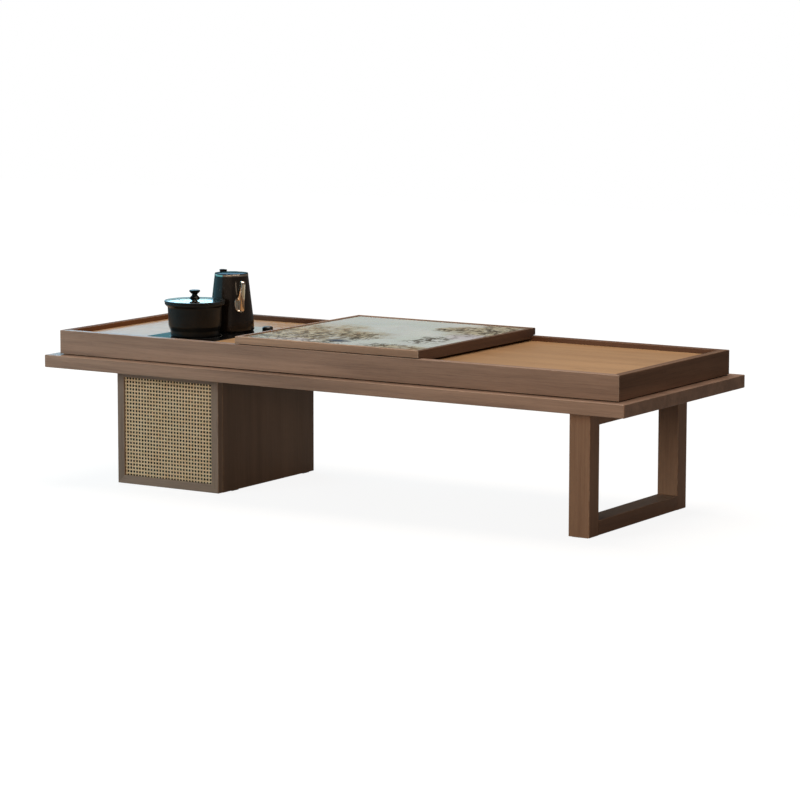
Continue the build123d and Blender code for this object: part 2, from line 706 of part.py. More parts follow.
def panel_stone_top():
    """The stone slab, just below the border with a fine joint round it, its top arris eased."""
    joint, bevel = 0.6, 0.5
    inset = PANEL_BORDER + joint
    reach_y = PANEL_HALF_DEPTH - inset
    slab = board(grown(PANEL_X, -inset), (-reach_y, reach_y), (STONE_UNDER, STONE_TOP))
    return chamfer(slab.faces().sort_by(Axis.Z)[-1].edges(), bevel)


def panel_core_board():
    """The board that backs the stone, level with the members' seats."""
    reach_y = PANEL_HALF_DEPTH - MEMBER_WIDTH
    return board(grown(PANEL_X, -MEMBER_WIDTH), (-reach_y, reach_y), (PANEL_UNDER + 1, STONE_UNDER))


def panel_glide_strip(side):
    """A low-friction strip under the panel that runs on a tray rim."""
    y = sorted(side * (PANEL_HALF_DEPTH - inset) for inset in GLIDE_INSET)
    return board(grown(PANEL_X, -10), y, (RIM_TOP + SLIP, LIP_UNDER))


save("panel_frame_front", panel_frame(PANEL_LENGTH, (PANEL_MIDDLE, -PANEL_HALF_DEPTH, 0), 0))
save("panel_frame_rear", panel_frame(PANEL_LENGTH, (PANEL_MIDDLE, PANEL_HALF_DEPTH, 0), 180))
save("panel_frame_left", panel_frame(PANEL_DEPTH, (PANEL_X[0], 0, 0), -90))
save("panel_frame_right", panel_frame(PANEL_DEPTH, (PANEL_X[1], 0, 0), 90))
save("panel_core_board", panel_core_board())
save("panel_stone_top", panel_stone_top())
save("panel_glide_strips", in_all([panel_glide_strip(side) for side in (-1, 1)]))


# ---------------------------------------------------------------- pot and its lid
POT_WALL = 1.6
POT_RIM_RADIUS, POT_FOOT_RADIUS = 82, 67
LID_EDGE = POT_HEIGHT + 2
LID_RISE = 5
LID_RADIUS, LID_RING_RADIUS = 79, 83
GLASS_LID = 3
KNOB_FOOT, KNOB_WAIST, KNOB_TOP = 14, 7.4, 14.7


def pot_body():
    """The boiling pot: a narrow foot, slightly flared wall and a wide band at the rim."""
    bore = POT_RIM_RADIUS - POT_WALL
    outer = outline(
        [
            (0, 0),
            (POT_FOOT_RADIUS - 3, 0),
            (POT_FOOT_RADIUS, 3),
            (POT_FOOT_RADIUS, 19),
            (72, 31),
            (74.2, 79),
            (POT_RIM_RADIUS, 86),
            (POT_RIM_RADIUS, POT_HEIGHT),
            (0, POT_HEIGHT),
        ]
    )
    inner = outline(
        [
            (0, POT_WALL),
            (65, POT_WALL),
            (65, 20),
            (70, 32),
            (72.6, 80),
            (bore, 87),
            (bore, POT_HEIGHT),
            (0, POT_HEIGHT),
        ]
    )
    return turned(outer - inner, POT_X, POT_Y)


def pot_lid_glass():
    """The shallow domed glass of the lid, flat below the knob."""
    middle, slope = LID_EDGE + LID_RISE, LID_EDGE + 3.3
    profile = outline(
        [
            (0, middle),
            (48, slope),
            (LID_RADIUS, LID_EDGE),
            (LID_RADIUS, LID_EDGE + GLASS_LID),
            (50, slope + GLASS_LID),
            (KNOB_FOOT, middle + GLASS_LID),
            (0, middle + GLASS_LID),
        ]
    )
    return turned(profile, POT_X, POT_Y)


def pot_lid_ring():
    """The steel band round the glass: a lip below the glass rests on the pot's rim."""
    lip, low, high = LID_RADIUS - 2, POT_HEIGHT + SLIP, LID_EDGE + GLASS_LID
    profile = outline(
        [
            (lip, low),
            (LID_RING_RADIUS, low),
            (LID_RING_RADIUS, high),
            (LID_RADIUS, high),
            (LID_RADIUS, LID_EDGE),
            (lip, LID_EDGE),
        ]
    )
    return turned(profile, POT_X, POT_Y)


def pot_lid_knob():
    """The waisted knob at the middle of the lid."""
    foot = LID_EDGE + GLASS_LID + LID_RISE
    profile = outline(
        [
            (0, foot),
            (KNOB_FOOT, foot),
            (KNOB_FOOT, foot + 2),
            (KNOB_WAIST, foot + 9),
            (KNOB_WAIST, foot + 11.5),
            (KNOB_TOP, foot + 18.5),
            (KNOB_TOP, foot + 23),
            (0, foot + 23),
        ]
    )
    return turned(profile, POT_X, POT_Y)


save("pot_body", pot_body())
save("pot_lid_glass", pot_lid_glass())
save("pot_lid_ring", pot_lid_ring())
save("pot_lid_knob", pot_lid_knob())


# ---------------------------------------------------------------- kettle and its lid
KETTLE_WALL = 1.5
KETTLE_TAPER = (KETTLE_FOOT_RADIUS - KETTLE_NECK_RADIUS) / (KETTLE_HEIGHT - KETTLE_SHOULDER)
RING_HEIGHT = 5.5
HANDLE_WIDTH, HANDLE_SHEET = 12, 3.5
LEAF_SHEET, LEAF_HALF = 2.6, (12.5, 21)  # the leaf-shaped foot of the strap
SPOUT_SHEET = 1.8
SPOUT_AZIMUTH = 149
SPOUT_ROOT, SPOUT_LIP = (112, 52.6, 0.32), (165, 67, 1)  # height, reach and size of the section
SPOUT_SIDE = [(-23, 9.5), (-10, 9.5), (-3, 6.5), (0, 2)]  # behind the tip, half width


def wall_radius(height):
    """Outside radius of the kettle's cone at a height."""
    return KETTLE_FOOT_RADIUS - KETTLE_TAPER * (height - KETTLE_SHOULDER)


def cone_profile(low, high):
    """The filled half section of the kettle's straight cone between two heights."""
    return outline([(0, low), (wall_radius(low), low), (wall_radius(high), high), (0, high)])


def kettle_solid(inward):
    """The kettle's filled form, moved in by the wall where inward is the wall's thickness."""
    return outline(
        [
            (0, inward),
            (60 - inward, inward),
            (63 - inward, 4),
            (KETTLE_FOOT_RADIUS - inward, KETTLE_SHOULDER),
            (KETTLE_NECK_RADIUS - inward, KETTLE_HEIGHT),
            (0, KETTLE_HEIGHT),
        ]
    )


def beside_kettle(shape, azimuth):
    """Moves a shape made about the kettle's own axis, along its +X, to an azimuth."""
    return Pos(KETTLE_X, KETTLE_Y, VESSEL_Z) * Rot(0, 0, azimuth) * shape


def spout_section(height, reach, size, sheet):
    """The beak's section at a height: a flat back that narrows to a blunt tip."""
    narrowing = 1 - sheet / SPOUT_SIDE[0][1]
    side = [(reach + size * (x - sheet), size * y * narrowing) for x, y in SPOUT_SIDE]
    mirrored = [(x, -y) for x, y in reversed(side)]
    return Plane.XY.offset(height) * outline(side + mirrored)


def kettle_spout_form(sheet):
    """The beak: a narrow root on the wall that opens to a blunt lip above the rim."""
    return loft([spout_section(*place, sheet) for place in (SPOUT_ROOT, SPOUT_LIP)], ruled=True)


def kettle_body():
    """The tapered steel body, open at the top, with a pouring hole behind the beak."""
    shell = turned(kettle_solid(0) - kettle_solid(KETTLE_WALL), KETTLE_X, KETTLE_Y)
    hole = Pos(KETTLE_NECK_RADIUS, 0, 134) * Rot(0, 90, 0) * Cylinder(6, 16)
    return shell - beside_kettle(hole, SPOUT_AZIMUTH)


def kettle_spout():
    """The beak as a trough that is open above, cut to the body's cone."""
    form = kettle_spout_form(0) - kettle_spout_form(SPOUT_SHEET)
    trough = form - revolve(Plane.XZ * cone_profile(90, 170), Axis.Z)
    largest = trough.solids().sort_by(SortBy.VOLUME)[-1]
    ring_clear = Pos(0, 0, KETTLE_HEIGHT + 6) * Cylinder(KETTLE_NECK_RADIUS + 0.6, 16)
    return beside_kettle(largest - ring_clear, SPOUT_AZIMUTH)


def kettle_rim_ring():
    """The polished collar that closes the top of the wall."""
    inner, top = KETTLE_NECK_RADIUS - 3.3, KETTLE_HEIGHT + RING_HEIGHT
    outer = KETTLE_NECK_RADIUS
    profile = outline([(inner, KETTLE_HEIGHT), (outer, KETTLE_HEIGHT), (outer, top), (inner, top)])
    return turned(profile, KETTLE_X, KETTLE_Y)


def kettle_handle():
    """The strap: up from the wall, folded over at its free top, down and back to a leaf-shaped foot."""
    corners = [((55.6, 90), 12), ((101, 168), 6), ((84, 58.5), 10), ((58.7, 58.5), 5)]
    centre = outline([point for point, radius in corners])
    for point, radius in corners:
        centre = fillet(corner_of(centre, point), radius)
    ring = offset(centre, HANDLE_SHEET / 2) - offset(centre, -HANDLE_SHEET / 2)
    loop = extrude(Plane.XZ * ring, HANDLE_WIDTH / 2, both=True)
    core = revolve(Plane.XZ * cone_profile(40, KETTLE_HEIGHT), Axis.Z)
    jacket = revolve(Plane.XZ * Pos(LEAF_SHEET, 0) * cone_profile(50, 105), Axis.Z) - core
    leaf = jacket & (Pos(50, 0, 76) * extrude(Plane.YZ * Ellipse(*LEAF_HALF), 20))
    return beside_kettle(loop - core + leaf, HANDLE_AZIMUTH)


def kettle_lid():
    """The press-in lid: a slightly raised disc over the collar and a plug inside it."""
    low = KETTLE_HEIGHT + RING_HEIGHT + SLIP
    radius, plug, plug_depth = 46, 42, 6
    profile = outline(
        [
            (0, low - plug_depth),
            (plug, low - plug_depth),
            (plug, low),
            (radius, low),
            (radius, low + 1.5),
            (24, low + 2.7),
            (0, low + 3),
        ]
    )
    return turned(profile, KETTLE_X, KETTLE_Y)


save("kettle_body", kettle_body())
save("kettle_rim_ring", kettle_rim_ring())
save("kettle_handle", kettle_handle())
save("kettle_spout", kettle_spout())
save("kettle_lid", kettle_lid())
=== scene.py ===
"""Gongfu tea table: the looks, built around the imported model."""

import math

import bmesh
import bpy
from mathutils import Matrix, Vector


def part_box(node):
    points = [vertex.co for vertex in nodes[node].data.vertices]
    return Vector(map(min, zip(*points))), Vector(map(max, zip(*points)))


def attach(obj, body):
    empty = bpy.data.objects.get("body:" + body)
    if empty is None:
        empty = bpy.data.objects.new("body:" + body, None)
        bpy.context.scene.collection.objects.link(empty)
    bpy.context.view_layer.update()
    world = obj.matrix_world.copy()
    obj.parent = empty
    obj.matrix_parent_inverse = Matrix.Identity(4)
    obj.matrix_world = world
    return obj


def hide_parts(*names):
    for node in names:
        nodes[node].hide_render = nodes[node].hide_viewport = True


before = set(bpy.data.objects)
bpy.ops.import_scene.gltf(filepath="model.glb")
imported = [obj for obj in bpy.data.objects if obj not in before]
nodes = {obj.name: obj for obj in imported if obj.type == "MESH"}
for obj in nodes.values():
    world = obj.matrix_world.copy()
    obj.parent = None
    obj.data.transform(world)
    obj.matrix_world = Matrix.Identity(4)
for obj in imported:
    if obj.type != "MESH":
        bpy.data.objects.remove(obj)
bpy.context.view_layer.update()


# ---------------------------------------------------------------- studio
# A pale floor in a white surround, a broad softbox overhead, a cool and a warm one in front and dim
# walls at the front and the right. Behind the table's left end are a curtain and a window with its
# sill and a gap beside it, which the black glass, the lids and the kettle mirror.
def paint(red, green, blue):
    """A colour chip given in 0 to 255 display steps, as the linear colour a shader takes."""
    steps = [value / 255 for value in (red, green, blue)]
    return (*[s / 12.92 if s <= 0.04045 else ((s + 0.055) / 1.055) ** 2.4 for s in steps], 1.0)


def show(name, data):
    """Puts an object with this mesh, lamp or camera in the scene."""
    thing = bpy.data.objects.new(name, data)
    bpy.context.collection.objects.link(thing)
    return thing


camera_data = bpy.data.cameras.new("camera")
camera_data.lens = 139.534
camera_data.sensor_width = 36
camera_data.shift_x = 0.01129
camera_data.shift_y = -0.0296
camera_data.clip_end = 60
camera = show("camera", camera_data)
camera.location = (4.42811217, -6.96218969, 1.42882294)
camera.rotation_euler = (1.4377895, -0.0012078, 0.5651739)
bpy.context.scene.camera = camera
bpy.context.scene.view_settings.view_transform = "Standard"


def softbox(name, place, aim, size, radiance, colour, mirrored=True):
    """A rectangular lamp of an even brightness, unseen by the camera and, if asked, in glosses."""
    lamp = bpy.data.lights.new(name, "AREA")
    lamp.shape = "RECTANGLE"
    lamp.size, lamp.size_y = size
    lamp.energy = radiance * math.pi * size[0] * size[1]
    lamp.color = paint(*colour)[:3]
    holder = show(name, lamp)
    holder.location = place
    holder.rotation_euler = (Vector(aim) - Vector(place)).to_track_quat("-Z", "Y").to_euler()
    holder.visible_camera = False
    holder.visible_glossy = mirrored


softbox("overhead", (0.16, 0.4, 3.6), (0.1, 0, 0.4), (3.2, 2.2), 5.3, (255, 244, 232))
softbox("front_left", (-2.2, -4.2, 1.5), (-0.6, 0, 0.3), (2.0, 1.6), 8.8, (222, 245, 255), False)
softbox("front_right", (1.0, -4.6, 1.1), (0.5, 0, 0.3), (2.0, 1.4), 6.0, (255, 216, 176), False)
softbox("front_wall", (0.6, -6.6, 1.6), (0, 0, 0.5), (7.6, 3.0), 0.12, (255, 222, 190))
softbox("right_wall", (4.4, -0.6, 0.4), (0, 0, 0.3), (2.6, 0.8), 1.35, (255, 238, 222), False)
softbox("left_curtain", (-3.6, -1.6, 1.1), (0, 0, 0.6), (5.2, 2.4), 0.6, (80, 220, 255))
softbox("window", (-2.62, 1.35, 1.74), (-2.07, -1.0, 1.2), (2.06, 1.7), 3.4, (158, 220, 252))
softbox("window_sill", (-2.55, 1.34, 0.58), (-2.0, -1.0, 0.45), (2.2, 0.56), 0.40, (6, 196, 222))
softbox("window_gap", (-1.28, 1.34, 0.575), (-0.8, -1.0, 0.45), (0.26, 0.15), 0.7, (252, 232, 214))


def start_nodes(owner):
    """Empties the node tree of a material or a world and returns it."""
    owner.use_nodes = True
    owner.node_tree.nodes.clear()
    return owner.node_tree


def feed(tree, node, inputs):
    """Feeds a node's inputs, given by name or in order, with sockets or with plain values."""
    for label, value in inputs.items() if isinstance(inputs, dict) else enumerate(inputs):
        if isinstance(value, bpy.types.NodeSocket):
            tree.links.new(value, node.inputs[label])
        elif value is not None:
            node.inputs[label].default_value = value


def add(tree, kind, inputs=(), **settings):
    """Adds a node, sets its properties and feeds its inputs."""
    node = tree.nodes.new(kind)
    for name, value in settings.items():
        setattr(node, name, value)
    feed(tree, node, inputs)
    return node


def maths(tree, operation, first, second=None, clamp=False):
    """A Math node on sockets or numbers; returns its output."""
    node = add(tree, "ShaderNodeMath", (first, second), operation=operation, use_clamp=clamp)
    return node.outputs[0]


def remap(tree, value, low, high, to_low=0.0, to_high=1.0):
    """Moves a value from one range to another, held within it."""
    return add(tree, "ShaderNodeMapRange", (value, low, high, to_low, to_high)).outputs[0]


def distance_to(tree, point, centre):
    """How far a point is from a centre."""
    node = add(tree, "ShaderNodeVectorMath", (point, centre), operation="DISTANCE")
    return node.outputs["Value"]


GLOSSY_SHARE = 0.05


def background_share(tree):
    """How much of the white a ray sees: all of it by eye and through glass, a part in a gloss."""
    ray = add(tree, "ShaderNodeLightPath").outputs
    seen = maths(tree, "MAXIMUM", ray["Is Camera Ray"], ray["Is Transmission Ray"])
    mirrored = maths(tree, "MULTIPLY", ray["Is Glossy Ray"], GLOSSY_SHARE)
    return maths(tree, "MAXIMUM", seen, mirrored)


surround = bpy.data.worlds.new("surround")
bpy.context.scene.world = surround
tree = start_nodes(surround)
room = add(tree, "ShaderNodeBackground", {"Color": paint(150, 140, 132), "Strength": 0.34})
white = add(tree, "ShaderNodeBackground", {"Color": (1, 1, 1, 1)})
mix = add(tree, "ShaderNodeMixShader", (background_share(tree), room.outputs[0], white.outputs[0]))
add(tree, "ShaderNodeOutputWorld", {"Surface": mix.outputs[0]})

FLOOR_REACH = 9
floor_mesh = bpy.data.meshes.new("studio_floor")
corners = [(x * FLOOR_REACH, y * FLOOR_REACH, 0) for x, y in ((-1, -1), (1, -1), (1, 1), (-1, 1))]
floor_mesh.from_pydata(corners, [], [(0, 1, 2, 3)])
floor_paint = bpy.data.materials.new("studio_floor")
tree = start_nodes(floor_paint)
matt = add(tree, "ShaderNodeBsdfDiffuse", {"Color": paint(112, 110, 108)})
away = distance_to(tree, add(tree, "ShaderNodeTexCoord").outputs["Object"], (0, 0, 0))
glow = add(tree, "ShaderNodeEmission", {"Strength": remap(tree, away, 1.3, 3.0, 0.90, 1.0)})
lit = add(tree, "ShaderNodeAddShader", (matt.outputs[0], glow.outputs[0]))
mix = add(tree, "ShaderNodeMixShader", (background_share(tree), matt.outputs[0], lit.outputs[0]))
add(tree, "ShaderNodeOutputMaterial", {"Surface": mix.outputs[0]})
floor_mesh.materials.append(floor_paint)
floor = show("studio_floor", floor_mesh)


# ---------------------------------------------------------------- deck board and tray
# Boards with a walnut veneer, straight in the grain and finished with a satin lacquer. The tray's
# rails are mitred at the corners, and a batten below them, coloured near black as painted shade,
# deepens the fine dark line under them.
def node_group(name, inputs, outputs, kind="ShaderNodeTree"):
    """A node group with named sockets; returns it with what it is given and its output node."""
    group = bpy.data.node_groups.new(name, kind)
    for label, form, value in inputs:
        socket = group.interface.new_socket(label, in_out="INPUT", socket_type="NodeSocket" + form)
        if value is not None:
            socket.default_value = value
    for label, form in outputs:
        group.interface.new_socket(label, in_out="OUTPUT", socket_type="NodeSocket" + form)
    return group, add(group, "NodeGroupInput").outputs, add(group, "NodeGroupOutput")


def vectors(tree, operation, first, second):
    """A Vector Math node on sockets or vectors; returns its vector."""
    return add(tree, "ShaderNodeVectorMath", (first, second), operation=operation).outputs[0]


def noise(tree, place, stretch, detail=3.0, rough=0.55, distortion=0.0):
    """Noise whose cells are stretched along the axes; returns its 0 to 1 output."""
    stretched = add(tree, "ShaderNodeMapping", {"Vector": place, "Scale": stretch}).outputs[0]
    values = {"Scale": 1, "Detail": detail, "Roughness": rough, "Distortion": distortion}
    return add(tree, "ShaderNodeTexNoise", {"Vector": stretched, **values}).outputs["Fac"]


def blend_colours(tree, factor, first, second, kind="MIX"):
    """A colour Mix node on sockets or colours; returns its output."""
    inputs = {0: factor, 6: first, 7: second}
    return add(tree, "ShaderNodeMix", inputs, data_type="RGBA", blend_type=kind).outputs[2]


# The figure of the wood: broad bands, streaks and threads, with open pores and rare dark flecks.
figure_group, given, out = node_group(
    "wood_figure",
    (
        ("Vector", "Vector", None),
        ("Light Wood", "Color", paint(160, 130, 105)),
        ("Dark Wood", "Color", paint(110, 84, 66)),
        ("Gloss", "Float", 0.42),
    ),
    (("Color", "Color"), ("Roughness", "Float"), ("Height", "Float")),
)
place = given["Vector"]
bands = noise(figure_group, place, (0.9, 17, 17), 4.0, 0.6, 0.5)
streaks = noise(figure_group, place, (2.2, 75, 75), 5.0, 0.65, 0.3)
threads = noise(figure_group, place, (9, 420, 420), 3.0, 0.6)
pores = remap(figure_group, noise(figure_group, place, (34, 1300, 1300), 1.5), 0.60, 0.72)
drift = noise(figure_group, place, (1.5, 3.5, 3.5), 2.0)
tone = 0
for layer, low, share in ((bands, 0.34, 0.45), (streaks, 0.3, 0.30), (threads, 0.3, 0.25)):
    layer = maths(figure_group, "MULTIPLY", remap(figure_group, layer, low, 1 - low), share)
    tone = maths(figure_group, "ADD", tone, layer)
wood = blend_colours(figure_group, tone, given["Dark Wood"], given["Light Wood"])
fleck_place = add(figure_group, "ShaderNodeMapping", {"Vector": place, "Scale": (4.5, 15, 15)})
fleck_inputs = {"Vector": fleck_place.outputs[0], "Scale": 1}
fleck = add(figure_group, "ShaderNodeTexVoronoi", fleck_inputs).outputs
luck = add(figure_group, "ShaderNodeSeparateColor", (fleck["Color"],)).outputs[0]
near = remap(figure_group, fleck["Distance"], 0.05, 0.17, 1, 0)
spot = maths(figure_group, "MULTIPLY", remap(figure_group, luck, 0.86, 0.90), near)
shade = remap(figure_group, drift, 0.3, 0.7, 0.87, 1.10)
shade = maths(figure_group, "MULTIPLY", shade, remap(figure_group, pores, 0, 1, 1.0, 0.72))
shade = maths(figure_group, "MULTIPLY", shade, remap(figure_group, spot, 0, 1, 1.0, 0.70))
grey = add(figure_group, "ShaderNodeCombineColor", (shade, shade, shade)).outputs[0]
rough = remap(figure_group, streaks, 0.3, 0.7, -0.04, 0.06)
rough = maths(figure_group, "ADD", given["Gloss"], rough)
rough = maths(figure_group, "ADD", rough, maths(figure_group, "MULTIPLY", pores, 0.12))
height = maths(figure_group, "MULTIPLY", threads, 0.35)
height = maths(figure_group, "SUBTRACT", height, pores)
wood = blend_colours(figure_group, 1.0, wood, grey, "MULTIPLY")
feed(figure_group, out, {"Color": wood, "Roughness": rough, "Height": height})


def depth_in_box(tree, point, low, high):
    """How far a point lies inside a box, along each of the three axes."""
    past_low = vectors(tree, "SUBTRACT", point, low)
    past_high = vectors(tree, "SUBTRACT", high, point)
    nearest = vectors(tree, "MINIMUM", past_low, past_high)
    return add(tree, "ShaderNodeSeparateXYZ", (nearest,)).outputs


# Wear and a painted highlight on a board's arrises, where two of its sides are near: the middle one
# of three depths.
POINT_AND_BOX = [(label, "Vector", None) for label in ("Vector", "Low Corner", "High Corner")]
ARRIS_WIDTH = ("Width", "Float", 0.003)
wear_and_highlight_group, given, out = node_group(
    "arris_wear_and_highlight", (*POINT_AND_BOX, ARRIS_WIDTH), (("Mask", "Float"),)
)
a, b, c = depth_in_box(wear_and_highlight_group, given["Vector"], given["Low Corner"], given["High Corner"])
least = maths(wear_and_highlight_group, "MINIMUM", maths(wear_and_highlight_group, "MINIMUM", a, b), c)
most = maths(wear_and_highlight_group, "MAXIMUM", maths(wear_and_highlight_group, "MAXIMUM", a, b), c)
total = maths(wear_and_highlight_group, "ADD", maths(wear_and_highlight_group, "ADD", a, b), c)
second = maths(wear_and_highlight_group, "SUBTRACT", maths(wear_and_highlight_group, "SUBTRACT", total, least), most)
ragged = noise(wear_and_highlight_group, given["Vector"], (45, 45, 45), 4.0)
ragged = remap(wear_and_highlight_group, ragged, 0.3, 0.75, 0.15, 1.3)
reach = maths(wear_and_highlight_group, "MULTIPLY", given["Width"], ragged)
share = maths(wear_and_highlight_group, "DIVIDE", second, reach)
feed(wear_and_highlight_group, out, {"Mask": maths(wear_and_highlight_group, "SUBTRACT", 1.0, share, clamp=True)})

# Where a point lies inside a box: there the inside of a cabinet is painted black as shade.
room_group, given, out = node_group("inside_box", POINT_AND_BOX, (("Mask", "Float"),))
a, b, c = depth_in_box(room_group, given["Vector"], given["Low Corner"], given["High Corner"])
least = maths(room_group, "MINIMUM", maths(room_group, "MINIMUM", a, b), c)
feed(room_group, out, {"Mask": maths(room_group, "GREATER_THAN", least, 0.0)})


def start_material(name, metallic=0.0, specular=0.5):
    """A new material; returns it with its tree, its shader and its object coordinates."""
    material = bpy.data.materials.new(name)
    tree = start_nodes(material)
    values = {"Metallic": metallic, "Specular IOR Level": specular}
    shader = add(tree, "ShaderNodeBsdfPrincipled", values)
    add(tree, "ShaderNodeOutputMaterial", {"Surface": shader.outputs[0]})
    return material, tree, shader, add(tree, "ShaderNodeTexCoord").outputs["Object"]


def bump(tree, shader, height, distance):
    """Feeds a height to the shader's normal; distance is in metres."""
    relief = add(tree, "ShaderNodeBump", {"Height": height, "Distance": distance})
    feed(tree, shader, {"Normal": relief.outputs[0]})


def dress(node, material):
    """Gives a CAD node a material."""
    for slot in nodes[node].material_slots:
        slot.material = material


# each board is cut from another place of the figure, a step further on than the one before
GRAIN_TURNS = {"X": (0, 0, 0), "Y": (0, 0, math.pi / 2), "Z": (0, math.pi / 2, 0)}
GRAIN_STEP = (3.7, 1.31, 2.17)
LACQUER_RELIEF = 0.00012
# pale arrises: wear and a painted highlight; black: painted shade inside the cabinet
WORN_AND_HIGHLIT_WOOD, PAINTED_SHADE_BLACK = paint(215, 195, 170), paint(24, 19, 16)
boards_made = []


def veneer(node, along, tones, gloss=0.42, edge_wear_and_highlight=0.5, specular=0.5, painted_shade_box=None):
    """A wood finish in two tones: grain along an axis, arrises paled as wear and painted highlight,
    painted black shade inside a given box.
    """
    boards_made.append(node)
    material, tree, shader, place = start_material(node + "_wood", specular=specular)
    light, dark = paint(*tones[0]), paint(*tones[1])
    cut_from = tuple(step * len(boards_made) for step in GRAIN_STEP)
    turned = {"Vector": place, "Rotation": GRAIN_TURNS[along], "Location": cut_from}
    turned = add(tree, "ShaderNodeMapping", turned).outputs[0]
    values = {"Vector": turned, "Light Wood": light, "Dark Wood": dark, "Gloss": gloss}
    figure = add(tree, "ShaderNodeGroup", values, node_tree=figure_group).outputs
    low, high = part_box(node)
    values = {"Vector": place, "Low Corner": low, "High Corner": high}
    edge = add(tree, "ShaderNodeGroup", values, node_tree=wear_and_highlight_group).outputs[0]
    mask = maths(tree, "MULTIPLY", edge, edge_wear_and_highlight)
    # the arrises are paled, partly as wear and partly as a painted highlight
    pale = blend_colours(tree, 0.45, light, WORN_AND_HIGHLIT_WOOD)
    colour = blend_colours(tree, mask, figure["Color"], pale)
    # painted shade: the boards turn black inside the given box, the cabinet's dark interior
    if painted_shade_box:
        values = {"Vector": place, "Low Corner": painted_shade_box[0], "High Corner": painted_shade_box[1]}
        inside = add(tree, "ShaderNodeGroup", values, node_tree=room_group).outputs[0]
        colour = blend_colours(tree, inside, colour, PAINTED_SHADE_BLACK)
    rough = maths(tree, "SUBTRACT", figure["Roughness"], maths(tree, "MULTIPLY", mask, 0.1))
    feed(tree, shader, {"Base Color": colour, "Roughness": rough})
    bump(tree, shader, figure["Height"], LACQUER_RELIEF)
    dress(node, material)


VENEER = ((176, 142, 120), (117, 91, 75))
INNER_WOOD = ((190, 160, 122), (150, 120, 86))
# the rear, left and right rails' darker tones are painted shade on faces that the lamps light less
REAR_RAIL_PAINTED_SHADE, LEFT_RAIL_PAINTED_SHADE = ((120, 88, 69), (72, 50, 38)), ((126, 86, 58), (72, 45, 29))
RIGHT_RAIL_PAINTED_SHADE, TRAY_FLOOR = ((138, 109, 90), (88, 67, 54)), ((191, 151, 109), (157, 120, 84))
veneer("deck_board", "X", VENEER, edge_wear_and_highlight=0.3)
veneer("tray_rail_front", "X", VENEER, edge_wear_and_highlight=0.3)
veneer("tray_rail_rear", "X", REAR_RAIL_PAINTED_SHADE, edge_wear_and_highlight=0.1, specular=0.1)
veneer("tray_rail_left", "Y", LEFT_RAIL_PAINTED_SHADE, gloss=0.58, edge_wear_and_highlight=0.1, specular=0.03)
veneer("tray_rail_right", "Y", RIGHT_RAIL_PAINTED_SHADE, gloss=0.55, edge_wear_and_highlight=0.05, specular=0.1)
veneer("tray_floor_board", "X", TRAY_FLOOR, gloss=0.34, edge_wear_and_highlight=0.1)
veneer("tray_bearers", "Y", INNER_WOOD, gloss=0.7, edge_wear_and_highlight=0.1)
veneer("tray_mitre_splines", "Z", INNER_WOOD, gloss=0.7, edge_wear_and_highlight=0.1)

# the battens in the gap are coloured near black: painted shade that deepens the dark line under the
# tray
material, tree, shader, place = start_material("shadow_gap_painted_shade", specular=0.2)
grain = noise(tree, place, (8, 60, 60), 3.0)
gap_painted_shade = blend_colours(tree, grain, paint(8, 6, 5), paint(18, 14, 12))
rough = remap(tree, grain, 0.3, 0.7, 0.65, 0.85)
feed(tree, shader, {"Base Color": gap_painted_shade, "Roughness": rough})
dress("shadow_gap_battens", material)


# ---------------------------------------------------------------- built-in tea stove
# A black tempered glass on a seal, let in flush with the tray's floor, with a steel tub below it
# that holds two heating plates and the control board. Fine printed rings mark the two zones.
GLASS_MIDDLE, GLASS_TOP = (-0.535, -0.045), 0.413
ZONE_STEP, ZONE_RADIUS = 0.085, 0.071
LINE_CORE, LINE_EDGE = 0.0004, 0.0008
material, tree, shader, place = start_material("hob_black_glass")
rings = 0
for side in (-1, 1):
    zone = (GLASS_MIDDLE[0], GLASS_MIDDLE[1] + ZONE_STEP * side, GLASS_TOP)
    away = maths(tree, "SUBTRACT", distance_to(tree, place, zone), ZONE_RADIUS)
    line = remap(tree, maths(tree, "ABSOLUTE", away), LINE_CORE, LINE_EDGE, 1, 0)
    rings = maths(tree, "MAXIMUM", rings, line)
wipes = noise(tree, place, (14, 40, 14), 4.0, 0.6, 1.0)
ground = blend_colours(tree, remap(tree, wipes, 0.35, 0.7), paint(10, 11, 12), paint(17, 18, 19))
colour = blend_colours(tree, rings, ground, paint(92, 92, 90))
smear = remap(tree, wipes, 0.3, 0.7, 0.03, 0.09)
smear = maths(tree, "ADD", smear, maths(tree, "MULTIPLY", rings, 0.3))
feed(tree, shader, {"Base Color": colour, "Roughness": smear})
dress("hob_glass", material)


def plain_finish(
    name, base, second, stretch, rough, metallic=0.0, specular=0.5, relief=0.0, rim=None
):
    """A finish of two close tones and an uneven gloss; rim tints it at a glancing view."""
    material, tree, shader, place = start_material(name, metallic, specular)
    cloud = noise(tree, place, stretch if isinstance(stretch, tuple) else (stretch,) * 3, 4.0, 0.6)
    colour = blend_colours(tree, remap(tree, cloud, 0.3, 0.7), paint(*base), paint(*second))
    gloss = remap(tree, cloud, 0.3, 0.7, *rough)
    tint = paint(*rim) if rim else None
    feed(tree, shader, {"Base Color": colour, "Roughness": gloss, "Specular Tint": tint})
    if relief:
        bump(tree, shader, cloud, relief)
    return material


